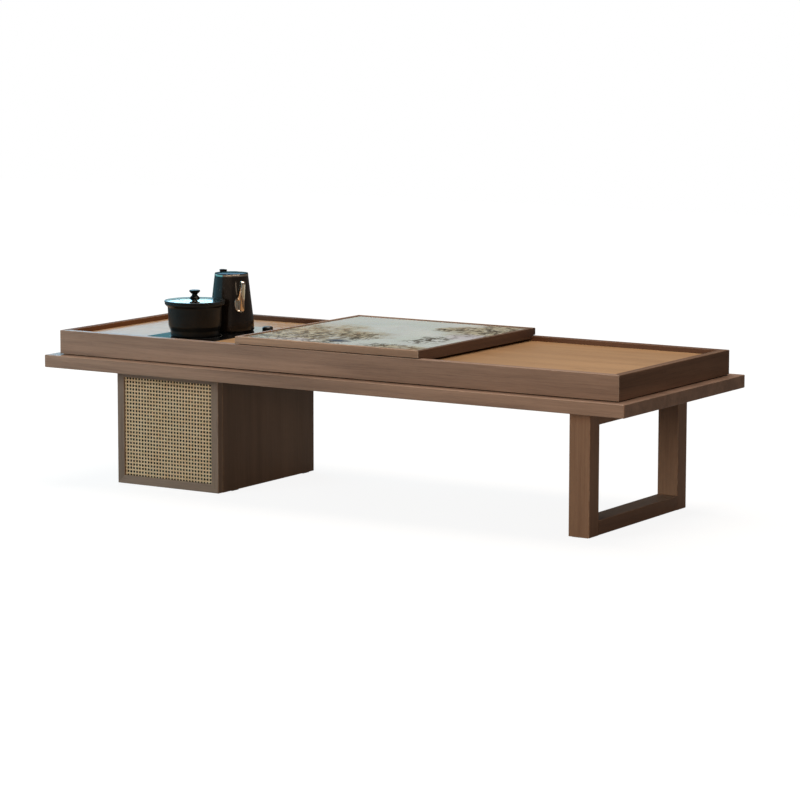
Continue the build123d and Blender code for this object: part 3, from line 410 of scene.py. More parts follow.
rubber = plain_finish("seal_rubber", (20, 20, 20), (34, 34, 34), 300, (0.6, 0.8))
zinc = plain_finish("zinc_sheet", (150, 152, 155), (186, 188, 190), 60, (0.32, 0.5), 1.0)
iron = plain_finish("cast_plate", (96, 96, 98), (120, 120, 122), 400, (0.5, 0.7), 1.0)
lacquer = plain_finish("board_lacquer", (20, 72, 42), (34, 96, 56), 200, (0.3, 0.5))
nylon = plain_finish("gland_nylon", (20, 20, 21), (32, 32, 33), 250, (0.4, 0.55))
dress("hob_gasket", rubber)
dress("hob_housing", zinc)
dress("hob_fixing_straps", zinc)
dress("hob_heating_plates", iron)
dress("hob_control_board", lacquer)
dress("hob_cable_gland", nylon)


# ---------------------------------------------------------------- cabinet
# Four veneered boards with a back, let into each other by dados and rebates, painted black inside
# as shade. It stands on felt pads, and steel plates at the left carry the pins on which the door
# turns.
CABINET_SIDE, CABINET_INNER = ((146, 122, 103), (108, 87, 71)), ((134, 108, 88), (98, 76, 60))
# the cabinet's inside, where its boards are painted black as shade
INSIDE = ((-0.7145, -0.2125, 0.02), (-0.4055, 0.2165, 0.33))
for name in ("cabinet_side_left", "cabinet_side_right"):
    veneer(name, "Z", CABINET_SIDE, painted_shade_box=INSIDE)
for name, along in (("cabinet_back", "Z"), ("cabinet_bottom", "X"), ("cabinet_top_rails", "X")):
    veneer(name, along, CABINET_INNER, gloss=0.6, painted_shade_box=INSIDE)
felt = plain_finish("felt_pad", (42, 38, 35), (66, 60, 55), 900, (0.9, 1.0), 0, 0.1, 0.0004)
case = plain_finish("catch_case", (48, 38, 32), (62, 50, 42), 200, (0.45, 0.6))
steel = plain_finish("plated_steel", (150, 146, 140), (180, 176, 168), 120, (0.25, 0.4), 1.0)
dress("cabinet_foot_pads", felt)
dress("leg_foot_pads", felt)
dress("magnetic_catch", case)
for name in ("pivot_plate_top", "pivot_plate_bottom", "catch_strike_plate"):
    dress(name, steel)
for name in ("cabinet_fixing_bolts", "leg_fixing_bolts"):
    dress(name, steel)


# ---------------------------------------------------------------- screws
# Plated steel screws with a cross recess: four hold the stove's straps to the deck, two hold the
# catch, and the rest go up through the deck into the tray's bearers.
def geometry_tree(name, inputs):
    """A Geometry Nodes tree with named inputs; returns it with what it is given and its output."""
    shape = ("Geometry", "Geometry")
    inputs = ((*shape, None), *inputs, ("Material", "Material", None))
    return node_group(name, inputs, (shape,), "GeometryNodeTree")


def finish_growth(tree, given, out, shape):
    """Ends a tree: what it grew is made real and gets its material."""
    real = add(tree, "GeometryNodeRealizeInstances", (shape,)).outputs[0]
    values = {"Geometry": real, "Material": given["Material"]}
    feed(tree, out, {"Geometry": add(tree, "GeometryNodeSetMaterial", values).outputs[0]})


def grown_mesh(name, places, tree, values):
    """Runs a tree on a mesh of bare points and returns the result as a plain mesh object."""
    points = bpy.data.meshes.new(name + "_places")
    points.from_pydata(places, [], [])
    seed = show(name + "_seed", points)
    modifier = seed.modifiers.new("grow", "NODES")
    modifier.node_group = tree
    for item in tree.interface.items_tree:
        if item.in_out == "INPUT" and item.name in values:
            modifier[item.identifier] = values[item.name]
    evaluated = seed.evaluated_get(bpy.context.evaluated_depsgraph_get())
    mesh = bpy.data.meshes.new_from_object(evaluated)
    mesh.name = name
    bpy.data.objects.remove(seed)
    return show(name, mesh)


def combine(tree, x=None, y=None, z=None):
    """A Combine XYZ node from sockets or numbers; returns its output."""
    return add(tree, "ShaderNodeCombineXYZ", (x, y, z)).outputs[0]


TOP_SHARE, RECESS_LONG, RECESS_WIDE = 0.72, 1.05, 0.28
screws, given, out = geometry_tree(
    "screw_heads",
    (
        ("Radius", "Float", 0.0035),
        ("Height", "Float", 0.0014),
        ("Recess", "Float", 0.0008),
        ("Facing", "Rotation", None),
    ),
)
cone = {
    "Vertices": 20,
    "Radius Top": maths(screws, "MULTIPLY", given["Radius"], TOP_SHARE),
    "Radius Bottom": given["Radius"],
    "Depth": given["Height"],
}
head = add(screws, "GeometryNodeMeshCone", cone).outputs["Mesh"]
long_side = maths(screws, "MULTIPLY", given["Radius"], RECESS_LONG)
short_side = maths(screws, "MULTIPLY", given["Radius"], RECESS_WIDE)
deep = maths(screws, "MULTIPLY", given["Recess"], 2)
on_top = combine(screws, 0, 0, given["Height"])
cross = add(screws, "GeometryNodeJoinGeometry")
for sides in ((long_side, short_side), (short_side, long_side)):
    slot = add(screws, "GeometryNodeMeshCube", {"Size": combine(screws, *sides, deep)})
    slot = {"Geometry": slot.outputs["Mesh"], "Translation": on_top}
    feed(screws, cross, (add(screws, "GeometryNodeTransform", slot).outputs[0],))
cut = {"Mesh 1": head, "Mesh 2": cross.outputs[0]}
cut = add(screws, "GeometryNodeMeshBoolean", cut, operation="DIFFERENCE").outputs["Mesh"]
driven = {"Points": given["Geometry"], "Instance": cut, "Rotation": given["Facing"]}
driven = add(screws, "GeometryNodeInstanceOnPoints", driven).outputs[0]
finish_growth(screws, given, out, driven)

DECK_UNDER, STRAP_UNDER, CATCH_FACE = 0.323, 0.321, -0.422
BEARER_MIDDLES = (-0.75, -0.40, -0.06, 0.28, 0.62)
DOWN, LEFTWARD = (math.pi, 0, 0), (0, -math.pi / 2, 0)
strap_places = [(x, y, STRAP_UNDER) for x in (-0.645, -0.425) for y in (-0.105, 0.095)]
catch_places = [(CATCH_FACE, -0.204, z) for z in (0.148, 0.172)]
bearer_places = [(x, y, DECK_UNDER) for x in BEARER_MIDDLES for y in (-0.262, 0.262)]
for name, places, facing in (
    ("strap_screws", strap_places, DOWN),
    ("catch_screws", catch_places, LEFTWARD),
    ("bearer_screws", bearer_places, DOWN),
):
    piece = grown_mesh(name, places, screws, {"Facing": facing, "Material": steel})
    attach(piece, "table")


# ---------------------------------------------------------------- cane door
# A mitred frame with a lip in front of the cane, which a bead holds from behind. The cane is woven
# of six sets of flat strands: upright pairs, level pairs and two diagonals, which pass over and
# under each other and leave octagonal holes on a square pitch.
DOOR_FRAME, BEAD = ((150, 130, 114), (116, 97, 84)), ((120, 96, 78), (92, 72, 58))
for side in ("left", "right"):
    veneer("door_stile_" + side, "Z", DOOR_FRAME, gloss=0.46)
for side in ("top", "bottom"):
    veneer("door_rail_" + side, "X", DOOR_FRAME, gloss=0.46)
veneer("cane_bead", "Z", BEAD, gloss=0.55)
brass = plain_finish("turned_brass", (176, 138, 66), (200, 162, 88), 300, (0.25, 0.4), 1.0)
dress("door_pivot_bushes", brass)

PITCH = 0.00993
weave, given, out = geometry_tree(
    "cane_strands",
    (
        ("Count", "Int", 30),
        ("Pitch", "Float", PITCH),
        ("Offset", "Float", 0.0),
        ("Length", "Float", 0.6),
        ("Segment", "Float", 0.0025),
        ("Angle", "Float", 0.0),
        ("Strand Width", "Float", 0.0012),
        ("Strand Thickness", "Float", 0.00045),
        ("Lift", "Float", 0.0003),
        ("Wave Length", "Float", PITCH),
        ("Phase", "Float", 0.0),
        ("Window Low", "Vector", None),
        ("Window High", "Vector", None),
        ("Centre", "Vector", None),
        ("Depth", "Float", 0.0),
        ("Seed", "Int", 0),
    ),
)
# a row of straight strands, cut into short segments
half_run = maths(weave, "MULTIPLY", maths(weave, "SUBTRACT", given["Count"], 1), -0.5)
half_run = maths(weave, "MULTIPLY", half_run, given["Pitch"])
first_place = maths(weave, "ADD", half_run, given["Offset"])
row = {
    "Count": given["Count"],
    "Start Location": combine(weave, first_place),
    "Offset": combine(weave, given["Pitch"]),
}
row = add(weave, "GeometryNodeMeshLine", row, mode="OFFSET").outputs[0]
ends = [combine(weave, 0, maths(weave, "MULTIPLY", given["Length"], end)) for end in (-0.5, 0.5)]
strand = add(weave, "GeometryNodeCurvePrimitiveLine", {"Start": ends[0], "End": ends[1]}).outputs[0]
strand = {"Curve": strand, "Length": given["Segment"]}
strand = add(weave, "GeometryNodeResampleCurve", strand, mode="LENGTH").outputs[0]
laid = add(weave, "GeometryNodeInstanceOnPoints", {"Points": row, "Instance": strand}).outputs[0]
laid = add(weave, "GeometryNodeRealizeInstances", (laid,)).outputs[0]
# each strand's own tone, drawn from its number in the row
spot = add(weave, "GeometryNodeInputPosition").outputs[0]
axes = add(weave, "ShaderNodeSeparateXYZ", (spot,)).outputs
number = maths(weave, "SUBTRACT", axes[0], first_place)
number = maths(weave, "ROUND", maths(weave, "DIVIDE", number, given["Pitch"]))
chance = {"ID": number, "Seed": given["Seed"]}
chance = add(weave, "FunctionNodeRandomValue", chance, data_type="FLOAT").outputs[1]
marked = {"Geometry": laid, "Name": "strand", "Value": chance}
marked = add(
    weave, "GeometryNodeStoreNamedAttribute", marked, data_type="FLOAT", domain="POINT"
).outputs[0]
# the strands rise and sink as they cross the others, and the row is turned and put in its place
wave = maths(weave, "MULTIPLY", axes[1], 2 * math.pi)
wave = maths(weave, "ADD", maths(weave, "DIVIDE", wave, given["Wave Length"]), given["Phase"])
rise = maths(weave, "MULTIPLY", maths(weave, "SINE", wave), given["Lift"])
waved = {"Geometry": marked, "Offset": combine(weave, 0, 0, rise)}
waved = add(weave, "GeometryNodeSetPosition", waved).outputs[0]
turned = combine(weave, 0, 0, given["Angle"])
turned = {"Geometry": waved, "Rotation": turned, "Translation": given["Centre"]}
turned = add(weave, "GeometryNodeTransform", turned).outputs[0]
# what lies outside the window is trimmed, and the rest gets its flat oval section
here = add(weave, "GeometryNodeInputPosition").outputs[0]
room_left = depth_in_box(weave, here, given["Window Low"], given["Window High"])
room_left = maths(weave, "MINIMUM", room_left[0], room_left[1])
outside = add(
    weave, "FunctionNodeCompare", (room_left, 0), data_type="FLOAT", operation="LESS_THAN"
).outputs[0]
trimmed = {"Geometry": turned, "Selection": outside}
trimmed = add(weave, "GeometryNodeDeleteGeometry", trimmed, domain="POINT").outputs[0]
upward = add(weave, "GeometryNodeSetCurveNormal", {"Curve": trimmed}, mode="Z_UP").outputs[0]
oval = add(weave, "GeometryNodeCurvePrimitiveCircle", {"Resolution": 6, "Radius": 0.5}).outputs[0]
flat = combine(weave, given["Strand Width"], given["Strand Thickness"], 1)
oval = add(weave, "GeometryNodeTransform", {"Geometry": oval, "Scale": flat}).outputs[0]
skin = {"Curve": upward, "Profile Curve": oval}
skin = add(weave, "GeometryNodeCurveToMesh", skin).outputs[0]
stood = {
    "Geometry": skin,
    "Rotation": (math.pi / 2, 0, 0),
    "Translation": combine(weave, 0, given["Depth"], 0),
}
finish_growth(weave, given, out, add(weave, "GeometryNodeTransform", stood).outputs[0])

cane_skin, tree, shader, place = start_material("cane_skin", specular=0.4)
strand_tone = add(tree, "ShaderNodeAttribute", attribute_name="strand").outputs["Fac"]
mottle = remap(tree, noise(tree, place, (70, 70, 70), 3.0), 0.3, 0.7, 0.0, 0.45)
fibre = noise(tree, place, (2500, 2500, 2500), 2.0)
tone = maths(tree, "ADD", maths(tree, "MULTIPLY", strand_tone, 0.6), mottle)
colour = blend_colours(tree, tone, paint(236, 200, 152), paint(255, 238, 204))
fibre_share = remap(tree, fibre, 0.5, 0.75, 0, 0.25)
colour = blend_colours(tree, fibre_share, colour, paint(156, 118, 76))
rough = remap(tree, fibre, 0.3, 0.7, 0.42, 0.62)
feed(tree, shader, {"Base Color": colour, "Roughness": rough})
bump(tree, shader, fibre, 0.00008)

FIRST_HOLE = Vector((-0.7084, 0.2946, 0))
PAIR_OFFSET, DIAGONAL_PITCH, DIAGONAL_WAVE = 0.00069, PITCH / math.sqrt(2), PITCH * math.sqrt(2)
low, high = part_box("cane_webbing")
common = {
    "Window Low": (low.x, low.z, 0),
    "Window High": (high.x, high.z, 0),
    "Depth": (low.y + high.y) / 2,
    "Material": cane_skin,
    # the middle of the field, on a crossing of an upright and a level pair
    "Centre": FIRST_HOLE + Vector((14.5 * PITCH, -13.5 * PITCH, 0)),
}
diagonal = {
    "Count": 91,
    "Pitch": DIAGONAL_PITCH,
    "Offset": DIAGONAL_PITCH / 2,
    "Wave Length": DIAGONAL_WAVE,
    "Segment": DIAGONAL_WAVE / 6,
    "Lift": 0.00062,
    "Strand Width": 0.0011,
    "Seed": 23,
}
sets = {"cane_uprights": [], "cane_levels": [], "cane_diagonals": []}
for side, phase in ((-1, math.pi), (1, 0.0)):
    pair = {"Count": 35, "Offset": side * PAIR_OFFSET}
    sets["cane_uprights"].append({**pair, "Angle": 0.0, "Phase": phase, "Seed": 3 + side})
    level = {"Angle": -math.pi / 2, "Phase": math.pi - phase, "Seed": 13 + side}
    sets["cane_levels"].append({**pair, **level})
for turn, phase in ((math.pi / 4, math.pi / 2), (-math.pi / 4, math.pi * 3 / 2)):
    sets["cane_diagonals"].append({**diagonal, "Angle": turn, "Phase": phase})


def joined(name, pieces):
    """One mesh object from several; their objects are removed."""
    whole = bmesh.new()
    for piece in pieces:
        whole.from_mesh(piece.data)
    mesh = bpy.data.meshes.new(name)
    whole.to_mesh(mesh)
    whole.free()
    mesh.materials.append(pieces[0].data.materials[0])
    for piece in pieces:
        bpy.data.objects.remove(piece)
    return show(name, mesh)


for name, rows in sets.items():
    grown = [grown_mesh(name, [(0, 0, 0)], weave, {**common, **values}) for values in rows]
    piece = joined(name, grown)
    for polygon in piece.data.polygons:
        polygon.use_smooth = True
    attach(piece, "door")
    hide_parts("cane_webbing")


# ---------------------------------------------------------------- loop leg
# Two posts and two rails of solid walnut in one closed frame, tenoned at the corners and bolted up
# into the deck board.
LEG = ((162, 125, 98), (120, 88, 66))
for name in ("leg_post_front", "leg_post_rear"):
    veneer(name, "Z", LEG)
for name in ("leg_rail_top", "leg_rail_bottom"):
    veneer(name, "Y", LEG)


# ---------------------------------------------------------------- sliding panel
# A mitred walnut frame round a flush slab of pale green stone with ochre and dark clouds, on a core
# board; it runs on two slips along the tray's front and rear rims.
# the right member's darker tone is painted shade on its end face, which faces away from the lamps
PANEL_FRONT, PANEL_RIGHT_PAINTED_SHADE = ((188, 151, 124), (132, 103, 82)), ((110, 84, 68), (66, 47, 37))
veneer("panel_frame_rear", "X", VENEER, gloss=0.40)
veneer("panel_frame_left", "Y", VENEER, gloss=0.40)
veneer("panel_frame_front", "X", PANEL_FRONT, gloss=0.40)
veneer("panel_frame_right", "Y", PANEL_RIGHT_PAINTED_SHADE, gloss=0.5, edge_wear_and_highlight=0.3, specular=0.3)
veneer("panel_core_board", "X", INNER_WOOD, gloss=0.7, edge_wear_and_highlight=0.1)
slip = plain_finish("glide_slip", (9, 8, 8), (16, 15, 14), 200, (0.6, 0.75), 0.0, 0.15)
dress("panel_glide_strips", slip)

# the stone's veins and clouds are laid out on coordinates that a wandering noise has moved
VEIN_WANDER = 0.13
material, tree, shader, place = start_material("celadon_stone", specular=0.05)
broad = noise(tree, place, (3.2, 3.2, 3.2), 5.0, 0.6, 0.6)
cloud = noise(tree, place, (14, 14, 14), 6.0, 0.65, 0.8)
fine = noise(tree, place, (62, 40, 40), 3.0, 0.62, 0.5)
wander = add(tree, "ShaderNodeTexNoise", {"Vector": place, "Scale": 11, "Detail": 5})
wander = vectors(tree, "SUBTRACT", wander.outputs["Color"], (0.5, 0.5, 0.5))
wander = {0: wander, "Scale": VEIN_WANDER}
wander = add(tree, "ShaderNodeVectorMath", wander, operation="SCALE").outputs[0]
moved = vectors(tree, "ADD", place, wander)
axes = add(tree, "ShaderNodeSeparateXYZ", (moved,)).outputs


def clouds(*ovals):
    """How deep a point lies in any of some soft ovals given by their middles and half widths."""
    deepest = 0
    for middle, reach in ovals:
        steps = [maths(tree, "SUBTRACT", axes[k], middle[k]) for k in (0, 1)]
        steps = [maths(tree, "DIVIDE", steps[k], reach[k]) for k in (0, 1)]
        squares = [maths(tree, "POWER", step, 2) for step in steps]
        depth = remap(tree, maths(tree, "ADD", *squares), 0.2, 1.9, 1, 0)
        deepest = maths(tree, "MAXIMUM", deepest, depth)
    return deepest


ochre_clouds = clouds(
    ((-0.20, -0.16), (0.15, 0.22)),
    ((-0.05, -0.08), (0.09, 0.07)),
    ((0.22, 0.20), (0.09, 0.15)),
    ((0.13, 0.18), (0.05, 0.05)),
    ((0.24, -0.26), (0.13, 0.045)),
)
dark_clouds = clouds(
    ((-0.18, -0.18), (0.09, 0.09)),
    ((-0.055, -0.25), (0.07, 0.04)),
    ((0.0, -0.11), (0.05, 0.07)),
    ((-0.11, -0.10), (0.07, 0.03)),
    ((0.22, 0.17), (0.07, 0.12)),
    ((0.11, 0.15), (0.025, 0.04)),
    ((0.18, -0.06), (0.05, 0.08)),
    ((0.14, -0.235), (0.08, 0.03)),
)
lilac_clouds = clouds(((-0.13, -0.25), (0.06, 0.03)), ((0.235, 0.03), (0.05, 0.05)))
blue_clouds = clouds(((-0.026, -0.207), (0.024, 0.03)))
green = remap(tree, cloud, 0.42, 0.62, 0, 0.5)
ragged = maths(tree, "MULTIPLY", ochre_clouds, remap(tree, cloud, 0.32, 0.56, 0.3, 1.3), clamp=True)
rust = maths(tree, "MULTIPLY", ragged, remap(tree, fine, 0.50, 0.60, 0, 0.8))
speckle = maths(tree, "MULTIPLY", dark_clouds, remap(tree, fine, 0.515, 0.545), clamp=True)
cracks = {"Vector": moved, "Scale": 20}
cracks = add(tree, "ShaderNodeTexVoronoi", cracks, feature="DISTANCE_TO_EDGE")
vein = remap(tree, cracks.outputs["Distance"], 0.0, 0.12, 1, 0)
veined = remap(tree, maths(tree, "MAXIMUM", dark_clouds, ragged), 0.35, 0.9)
vein = maths(tree, "MULTIPLY", vein, veined)
stone = paint(184, 193, 195)
for share, strength, chip in (
    (remap(tree, broad, 0.35, 0.65), 1, (202, 208, 207)),
    (green, 1, (180, 194, 184)),
    (ragged, 0.8, (171, 161, 132)),
    (rust, 1, (146, 118, 88)),
    (lilac_clouds, 0.8, (192, 190, 198)),
    (speckle, 0.92, (66, 62, 50)),
    (vein, 0.8, (60, 50, 38)),
    (blue_clouds, 1, (60, 72, 90)),
):
    stone = blend_colours(tree, maths(tree, "MULTIPLY", share, strength), stone, paint(*chip))
polish = remap(tree, cloud, 0.3, 0.7, 0.22, 0.32)
feed(tree, shader, {"Base Color": stone, "Roughness": polish})
dress("panel_stone_top", material)


# ---------------------------------------------------------------- pot and its lid
# A spun steel pot with a satin black coat, a wide band at its rim and a narrower foot; its lid is
# clear glass in a black band with a waisted black knob.
def rounded(points, steps=5):
    """A run of (radius, height, corner radius) points with the corners turned to arcs."""
    path = []
    for i, (x, z, radius) in enumerate(points):
        here = Vector((x, z))
        if not radius or i in (0, len(points) - 1):
            path.append(here)
            continue
        before = Vector(points[i - 1][:2]) - here
        after = Vector(points[i + 1][:2]) - here
        half = before.angle(after) / 2
        cut = min(radius / math.tan(half), before.length * 0.49, after.length * 0.49)
        before.normalize()
        after.normalize()
        middle = here + (before + after).normalized() * (cut / math.cos(half))
        start, end = here + before * cut - middle, here + after * cut - middle
        for k in range(steps + 1):
            path.append(middle + start.slerp(end, k / steps).normalized() * start.length)
    return path


def spun(name, profile, centre, base, segments=128):
    """A shell turned about an upright axis from a closed run of (radius, height) in millimetres."""
    shell = bmesh.new()
    rings = []
    for point in profile:
        radius, z = point.x / 1000, base + point.y / 1000
        if radius < 1e-6:
            rings.append([shell.verts.new((*centre, z))])
            continue
        turns = [2 * math.pi * k / segments for k in range(segments)]
        ring = [(radius * math.cos(turn), radius * math.sin(turn)) for turn in turns]
        rings.append([shell.verts.new((centre[0] + x, centre[1] + y, z)) for x, y in ring])
    pairs = list(zip(rings, rings[1:]))
    if len(rings[0]) > 1:
        pairs.append((rings[-1], rings[0]))
    for one, two in pairs:
        for k in range(segments):
            n = (k + 1) % segments
            corners = (one[k % len(one)], one[n % len(one)], two[n % len(two)], two[k % len(two)])
            face = list(dict.fromkeys(corners))
            if len(face) > 2:
                shell.faces.new(face)
    return finished(name, shell)


def finished(name, shell, smooth=math.radians(34)):
    """Turns a bmesh into a smooth-shaded object whose faces point outwards."""
    bmesh.ops.remove_doubles(shell, verts=shell.verts, dist=1e-7)
    bmesh.ops.recalc_face_normals(shell, faces=shell.faces)
    mesh = bpy.data.meshes.new(name)
    shell.to_mesh(mesh)
    shell.free()
    for polygon in mesh.polygons:
        polygon.use_smooth = True
    mesh.set_sharp_from_angle(angle=smooth)
    return show(name, mesh)


def dome(radius, top, fall, steps=8):
    """The run of a shallow dome from its middle to its edge."""
    return [Vector((radius * k / steps, top - fall * (k / steps) ** 2)) for k in range(steps + 1)]


def place_piece(piece, material, body, slot, *replaced):
    """Finishes a piece: its material, the body it rides on and what it stands for; slot is not
    used.
    """
    piece.data.materials.append(material)
    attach(piece, body)
    if replaced:
        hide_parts(*replaced)


VESSEL_BASE, POT = 0.4133, (-0.543, -0.124)
satin_black = plain_finish(
    "satin_black_coat", (15, 15, 14), (22, 22, 20), 35, (0.28, 0.38), 0, 0.42, 0.00002
)
pot_outer = [(0, 0, 0), (67, 0, 3), (67, 15, 8), (72, 27, 8), (74.2, 79, 6), (82, 86, 5)]
pot_rim = [(82, 91.5, 0.6), (80.4, 91.5, 0.6)]
pot_inner = [(80.4, 87, 4), (72.6, 80, 6), (70, 28, 8), (65, 16, 8), (65, 1.6, 4), (0, 1.6, 0)]
pot = spun("pot_shell", rounded(pot_outer + pot_rim + pot_inner), POT, VESSEL_BASE)
place_piece(pot, satin_black, "pot", "pot_steel", "pot_body")

band_outer = [(77, 91.8, 0), (83, 91.8, 1.2), (83, 96.5, 1.4), (79, 96.5, 0.4)]
band = rounded(band_outer + [(79, 93.5, 0), (77, 93.5, 0)])
ring = spun("pot_lid_band", band, POT, VESSEL_BASE)
place_piece(ring, satin_black, "pot_lid", "lid_band", "pot_lid_ring")

DOME_RADIUS, DOME_TOP, DOME_FALL, DOME_GLASS = 79, 101.5, 5, 3
lid_glass, tree, shader, place = start_material("lid_clear_glass")
haze = noise(tree, place, (60, 60, 60), 3.0)
# the warm base colour and warm specular tint are painted: they cancel the cyan of the window lamps
# on and through the lid
clear = {
    "Base Color": blend_colours(tree, haze, paint(244, 232, 218), paint(250, 240, 228)),
    "Roughness": remap(tree, haze, 0.3, 0.7, 0.02, 0.06),
    "Transmission Weight": 1.0,
    "Specular Tint": paint(255, 224, 206),
    "IOR": 1.5,
}
feed(tree, shader, clear)
outside = dome(DOME_RADIUS, DOME_TOP, DOME_FALL)
inside = dome(DOME_RADIUS, DOME_TOP - DOME_GLASS, DOME_FALL)
lid = spun("pot_lid_dome", outside + inside[::-1], POT, VESSEL_BASE)
place_piece(lid, lid_glass, "pot_lid", "lid_glass", "pot_lid_glass")

knob_foot = [(0, 101.5, 0), (14, 101.5, 0.6), (14, 103.5, 0.8), (7.4, 110.5, 5), (7.4, 113, 5)]
knob_head = [(14.7, 120, 1.2), (14.7, 124.5, 1.6), (0, 124.5, 0)]
knob = spun("pot_knob", rounded(knob_foot + knob_head), POT, VESSEL_BASE, 64)
phenolic = plain_finish("phenolic_knob", (9, 9, 9), (16, 15, 15), 120, (0.3, 0.4), 0.0, 0.15)
place_piece(knob, phenolic, "pot_lid", "knob_plastic", "pot_lid_knob")


# ---------------------------------------------------------------- kettle and its lid
# A tapered steel kettle with a dark brown coat, a polished collar, a pressed beak at the back left
# and a strap handle bent from polished steel sheet.
KETTLE = (-0.524, 0.023)
KNEE_RADIUS, KNEE_HEIGHT, LIP_RADIUS, LIP_HEIGHT, WALL = 61.3, 30, 46.8, 153, 1.5
kettle_coat = plain_finish("kettle_coat", (24, 18, 14), (34, 27, 21), 25, (0.12, 0.18), 0, 0.42)
polished = plain_finish(
    "polished_steel", (214, 198, 178), (228, 212, 194), (40, 40, 160), (0.06, 0.14), 1.0
)
outer = [(0, 0, 0), (60, 0, 2), (63, 4, 3), (KNEE_RADIUS, KNEE_HEIGHT, 20)]
lip = [(LIP_RADIUS, LIP_HEIGHT, 0), (LIP_RADIUS - WALL, LIP_HEIGHT, 0)]
inner = [(KNEE_RADIUS - WALL, KNEE_HEIGHT, 18), (61.5, 5.5, 3), (58.5, WALL, 3), (0, WALL, 0)]
kettle = spun("kettle_shell", rounded(outer + lip + inner), KETTLE, VESSEL_BASE)
place_piece(kettle, kettle_coat, "kettle", "kettle_steel", "kettle_body")
collar_foot = [(43.5, LIP_HEIGHT, 0), (LIP_RADIUS, LIP_HEIGHT, 0)]
collar = rounded(collar_foot + [(LIP_RADIUS, 158.5, 0.8), (43.5, 158.5, 0.8)])
collar = spun("kettle_collar", collar, KETTLE, VESSEL_BASE)
place_piece(collar, polished, "kettle", "polished_steel", "kettle_rim_ring")

CAP_RADIUS, CAP_TOP, CAP_FALL = 46, 161.8, 1.5
cap_edge = [Vector(at) for at in ((CAP_RADIUS, 158.8), (42, 158.8), (42, 152.8), (0, 152.8))]
cap = spun("kettle_cap", dome(CAP_RADIUS, CAP_TOP, CAP_FALL) + cap_edge, KETTLE, VESSEL_BASE)
brushed = plain_finish(
    "brushed_lid", (44, 46, 48), (58, 59, 60), 18, (0.05, 0.10), 1.0, rim=(120, 122, 126)
)
place_piece(cap, brushed, "kettle_lid", "kettle_lid_steel", "kettle_lid")


def cone_at(height):
    """The kettle's outer radius at a height, in mm."""
    slope = (KNEE_RADIUS - LIP_RADIUS) / (LIP_HEIGHT - KNEE_HEIGHT)
    return KNEE_RADIUS - slope * (height - KNEE_HEIGHT)


def beside_kettle(radius, side, height, turn):
    """A point given by its reach from the kettle's axis, its side step and its height, in mm."""
    x = radius * math.cos(turn) - side * math.sin(turn)
    y = radius * math.sin(turn) + side * math.cos(turn)
    return (KETTLE[0] + x / 1000, KETTLE[1] + y / 1000, VESSEL_BASE + height / 1000)


def strip_faces(shell, rows, closed=True):
    """Faces between neighbouring rows of points, each row closed to a ring if asked."""
    for one, two in zip(rows, rows[1:]):
        for k in range(len(one) if closed else len(one) - 1):
            n = (k + 1) % len(one)
            shell.faces.new((one[k], one[n], two[n], two[k]))


# the strap is a closed bent loop, sunk a little into the wall where it lies against it
HANDLE_TURN, WALL_SINK = math.radians(-35), 0.3
strap_bends = [(55.6, 90, 12), (101, 168, 6), (84, 58.5, 10), (58.7, 58.5, 5)]
strap_path = rounded([strap_bends[-1], *strap_bends, strap_bends[0]], 8)[1:-1]
HALF_THICK, HALF_WIDE, BEVEL = 1.75, 6.0, 0.8
section = [(-HALF_THICK, BEVEL - HALF_WIDE), (BEVEL - HALF_THICK, -HALF_WIDE)]
section += [(-out_step, side) for out_step, side in reversed(section)]
section += [(-out_step, -side) for out_step, side in section]
strap = bmesh.new()
rings = []
for i, point in enumerate(strap_path):
    ahead = (strap_path[(i + 1) % len(strap_path)] - strap_path[i - 1]).normalized()
    ring = []
    for out_step, side in section:
        at = point + Vector((ahead.y, -ahead.x)) * out_step
        reach = max(at.x, cone_at(at.y) - WALL_SINK)
        ring.append(strap.verts.new(beside_kettle(reach, side, at.y, HANDLE_TURN)))
    rings.append(ring)
strip_faces(strap, rings + rings[:1])

# a leaf-shaped plate, domed at its edge, spreads the strap's pull on the kettle's wall
LEAF_HEIGHT, LEAF_HALF_WIDTH, LEAF_HALF_HEIGHT = 77.5, 11.8, 19.5
LEAF_SHEET, LEAF_ROUNDING, LEAF_SEGMENTS = 2.6, 0.7, 40
leaf_steps = ((1.0, -WALL_SINK), (1.0, LEAF_SHEET - LEAF_ROUNDING), (0.93, LEAF_SHEET))
leaf_rings = []
for share, stand in (*leaf_steps, (0.5, LEAF_SHEET)):
    ring = []
    for k in range(LEAF_SEGMENTS):
        turn = 2 * math.pi * k / LEAF_SEGMENTS
        side = share * LEAF_HALF_WIDTH * math.cos(turn)
        height = LEAF_HEIGHT + share * LEAF_HALF_HEIGHT * math.sin(turn)
        reach = math.sqrt((cone_at(height) + stand) ** 2 - side**2)
        ring.append(strap.verts.new(beside_kettle(reach, side, height, HANDLE_TURN)))
    leaf_rings.append(ring)
strip_faces(strap, leaf_rings)
reach = cone_at(LEAF_HEIGHT) + LEAF_SHEET
top = strap.verts.new(beside_kettle(reach, 0, LEAF_HEIGHT, HANDLE_TURN))
innermost = leaf_rings[-1]
for k in range(LEAF_SEGMENTS):
    strap.faces.new([innermost[k], innermost[(k + 1) % LEAF_SEGMENTS], top])
strap.faces.new(list(reversed(leaf_rings[0])))
handle = finished("kettle_strap", strap, math.radians(50))
place_piece(handle, polished, "kettle", "polished_steel", "kettle_handle")

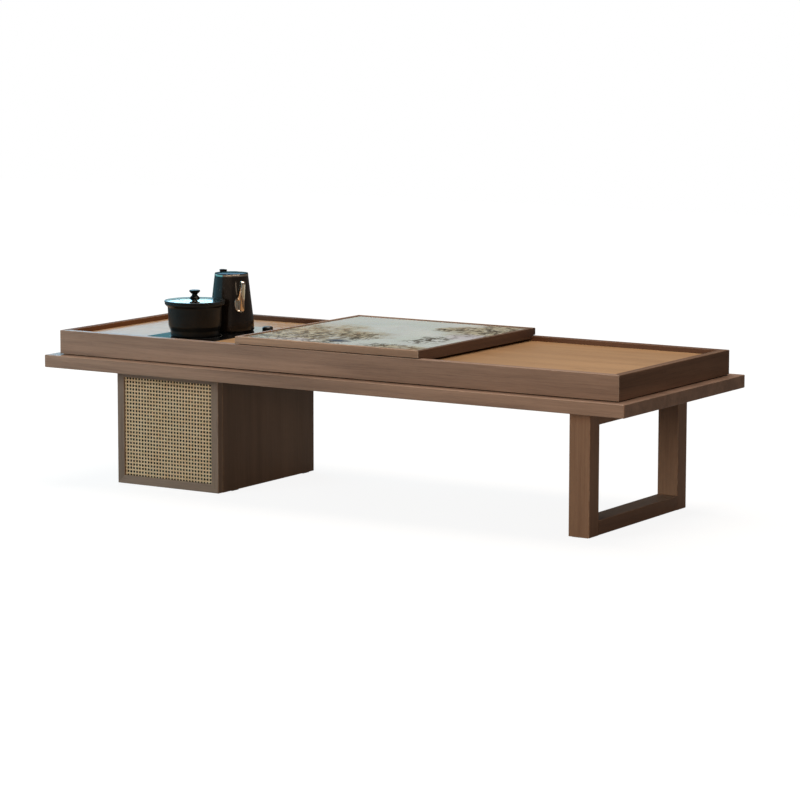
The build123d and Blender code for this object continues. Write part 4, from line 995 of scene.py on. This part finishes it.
# the beak widens upwards and runs out past the collar; its sheet has an outer and an inner side
SPOUT_TURN, BEAK_SHEET, BEAK_LEVELS = math.radians(151), 1.8, 14
BEAK_LOW, BEAK_TALL, BEAK_SMALLEST = 112, 53, 0.32
TIP_LOW, TIP_OUT, COLLAR_CLEAR, COLLAR_LOW = 52.6, 14.4, 47.4, 150
half_plan = [(-23, 9.5, 0), (-10, 9.5, 5), (-3, 6.5, 3), (0, 2, 2)]
plan = rounded(half_plan + [(behind, -side, bend) for behind, side, bend in half_plan[::-1]], 4)
beak = bmesh.new()
rows_out, rows_in = [], []
for level in range(BEAK_LEVELS + 1):
    share = level / BEAK_LEVELS
    height, tip = BEAK_LOW + BEAK_TALL * share, TIP_LOW + TIP_OUT * share
    size = BEAK_SMALLEST + (1 - BEAK_SMALLEST) * share
    wall = cone_at(height) - WALL_SINK if height < COLLAR_LOW else COLLAR_CLEAR
    outer_row, inner_row = [], []
    for k, point in enumerate(plan):
        along = (plan[min(k + 1, len(plan) - 1)] - plan[max(k - 1, 0)]).normalized()
        inward = Vector((along.y, -along.x)) * BEAK_SHEET
        for row, at in ((outer_row, point * size), (inner_row, point * size + inward)):
            at = beside_kettle(max(tip + at.x, wall), at.y, height, SPOUT_TURN)
            row.append(beak.verts.new(at))
    rows_out.append(outer_row)
    rows_in.append(inner_row)
strip_faces(beak, rows_out, closed=False)
strip_faces(beak, [row[::-1] for row in rows_in], closed=False)
for k in (0, -1):
    strip_faces(beak, [[row[k] for row in rows_out], [row[k] for row in rows_in]], closed=False)
    strip_faces(beak, [rows_out[k], rows_in[k]], closed=False)
spout = finished("kettle_beak", beak, math.radians(50))
place_piece(spout, kettle_coat, "kettle", "kettle_steel", "kettle_spout")


# ---------------------------------------------------------------- filler cap
# A low cap of black plastic, turned with a bevelled top. It stands on the black glass, near its
# back right corner.
FILLER_PLACE = (-0.449, 0.090)
cap_profile = rounded([(0, 0, 0), (15, 0, 0), (15, 6, 1.5), (12, 9, 1.5), (0, 9, 0)])
filler = spun("stove_filler_cap", cap_profile, FILLER_PLACE, GLASS_TOP, 48)
place_piece(filler, satin_black, "table", "cap_plastic", "hob_filler_cap")
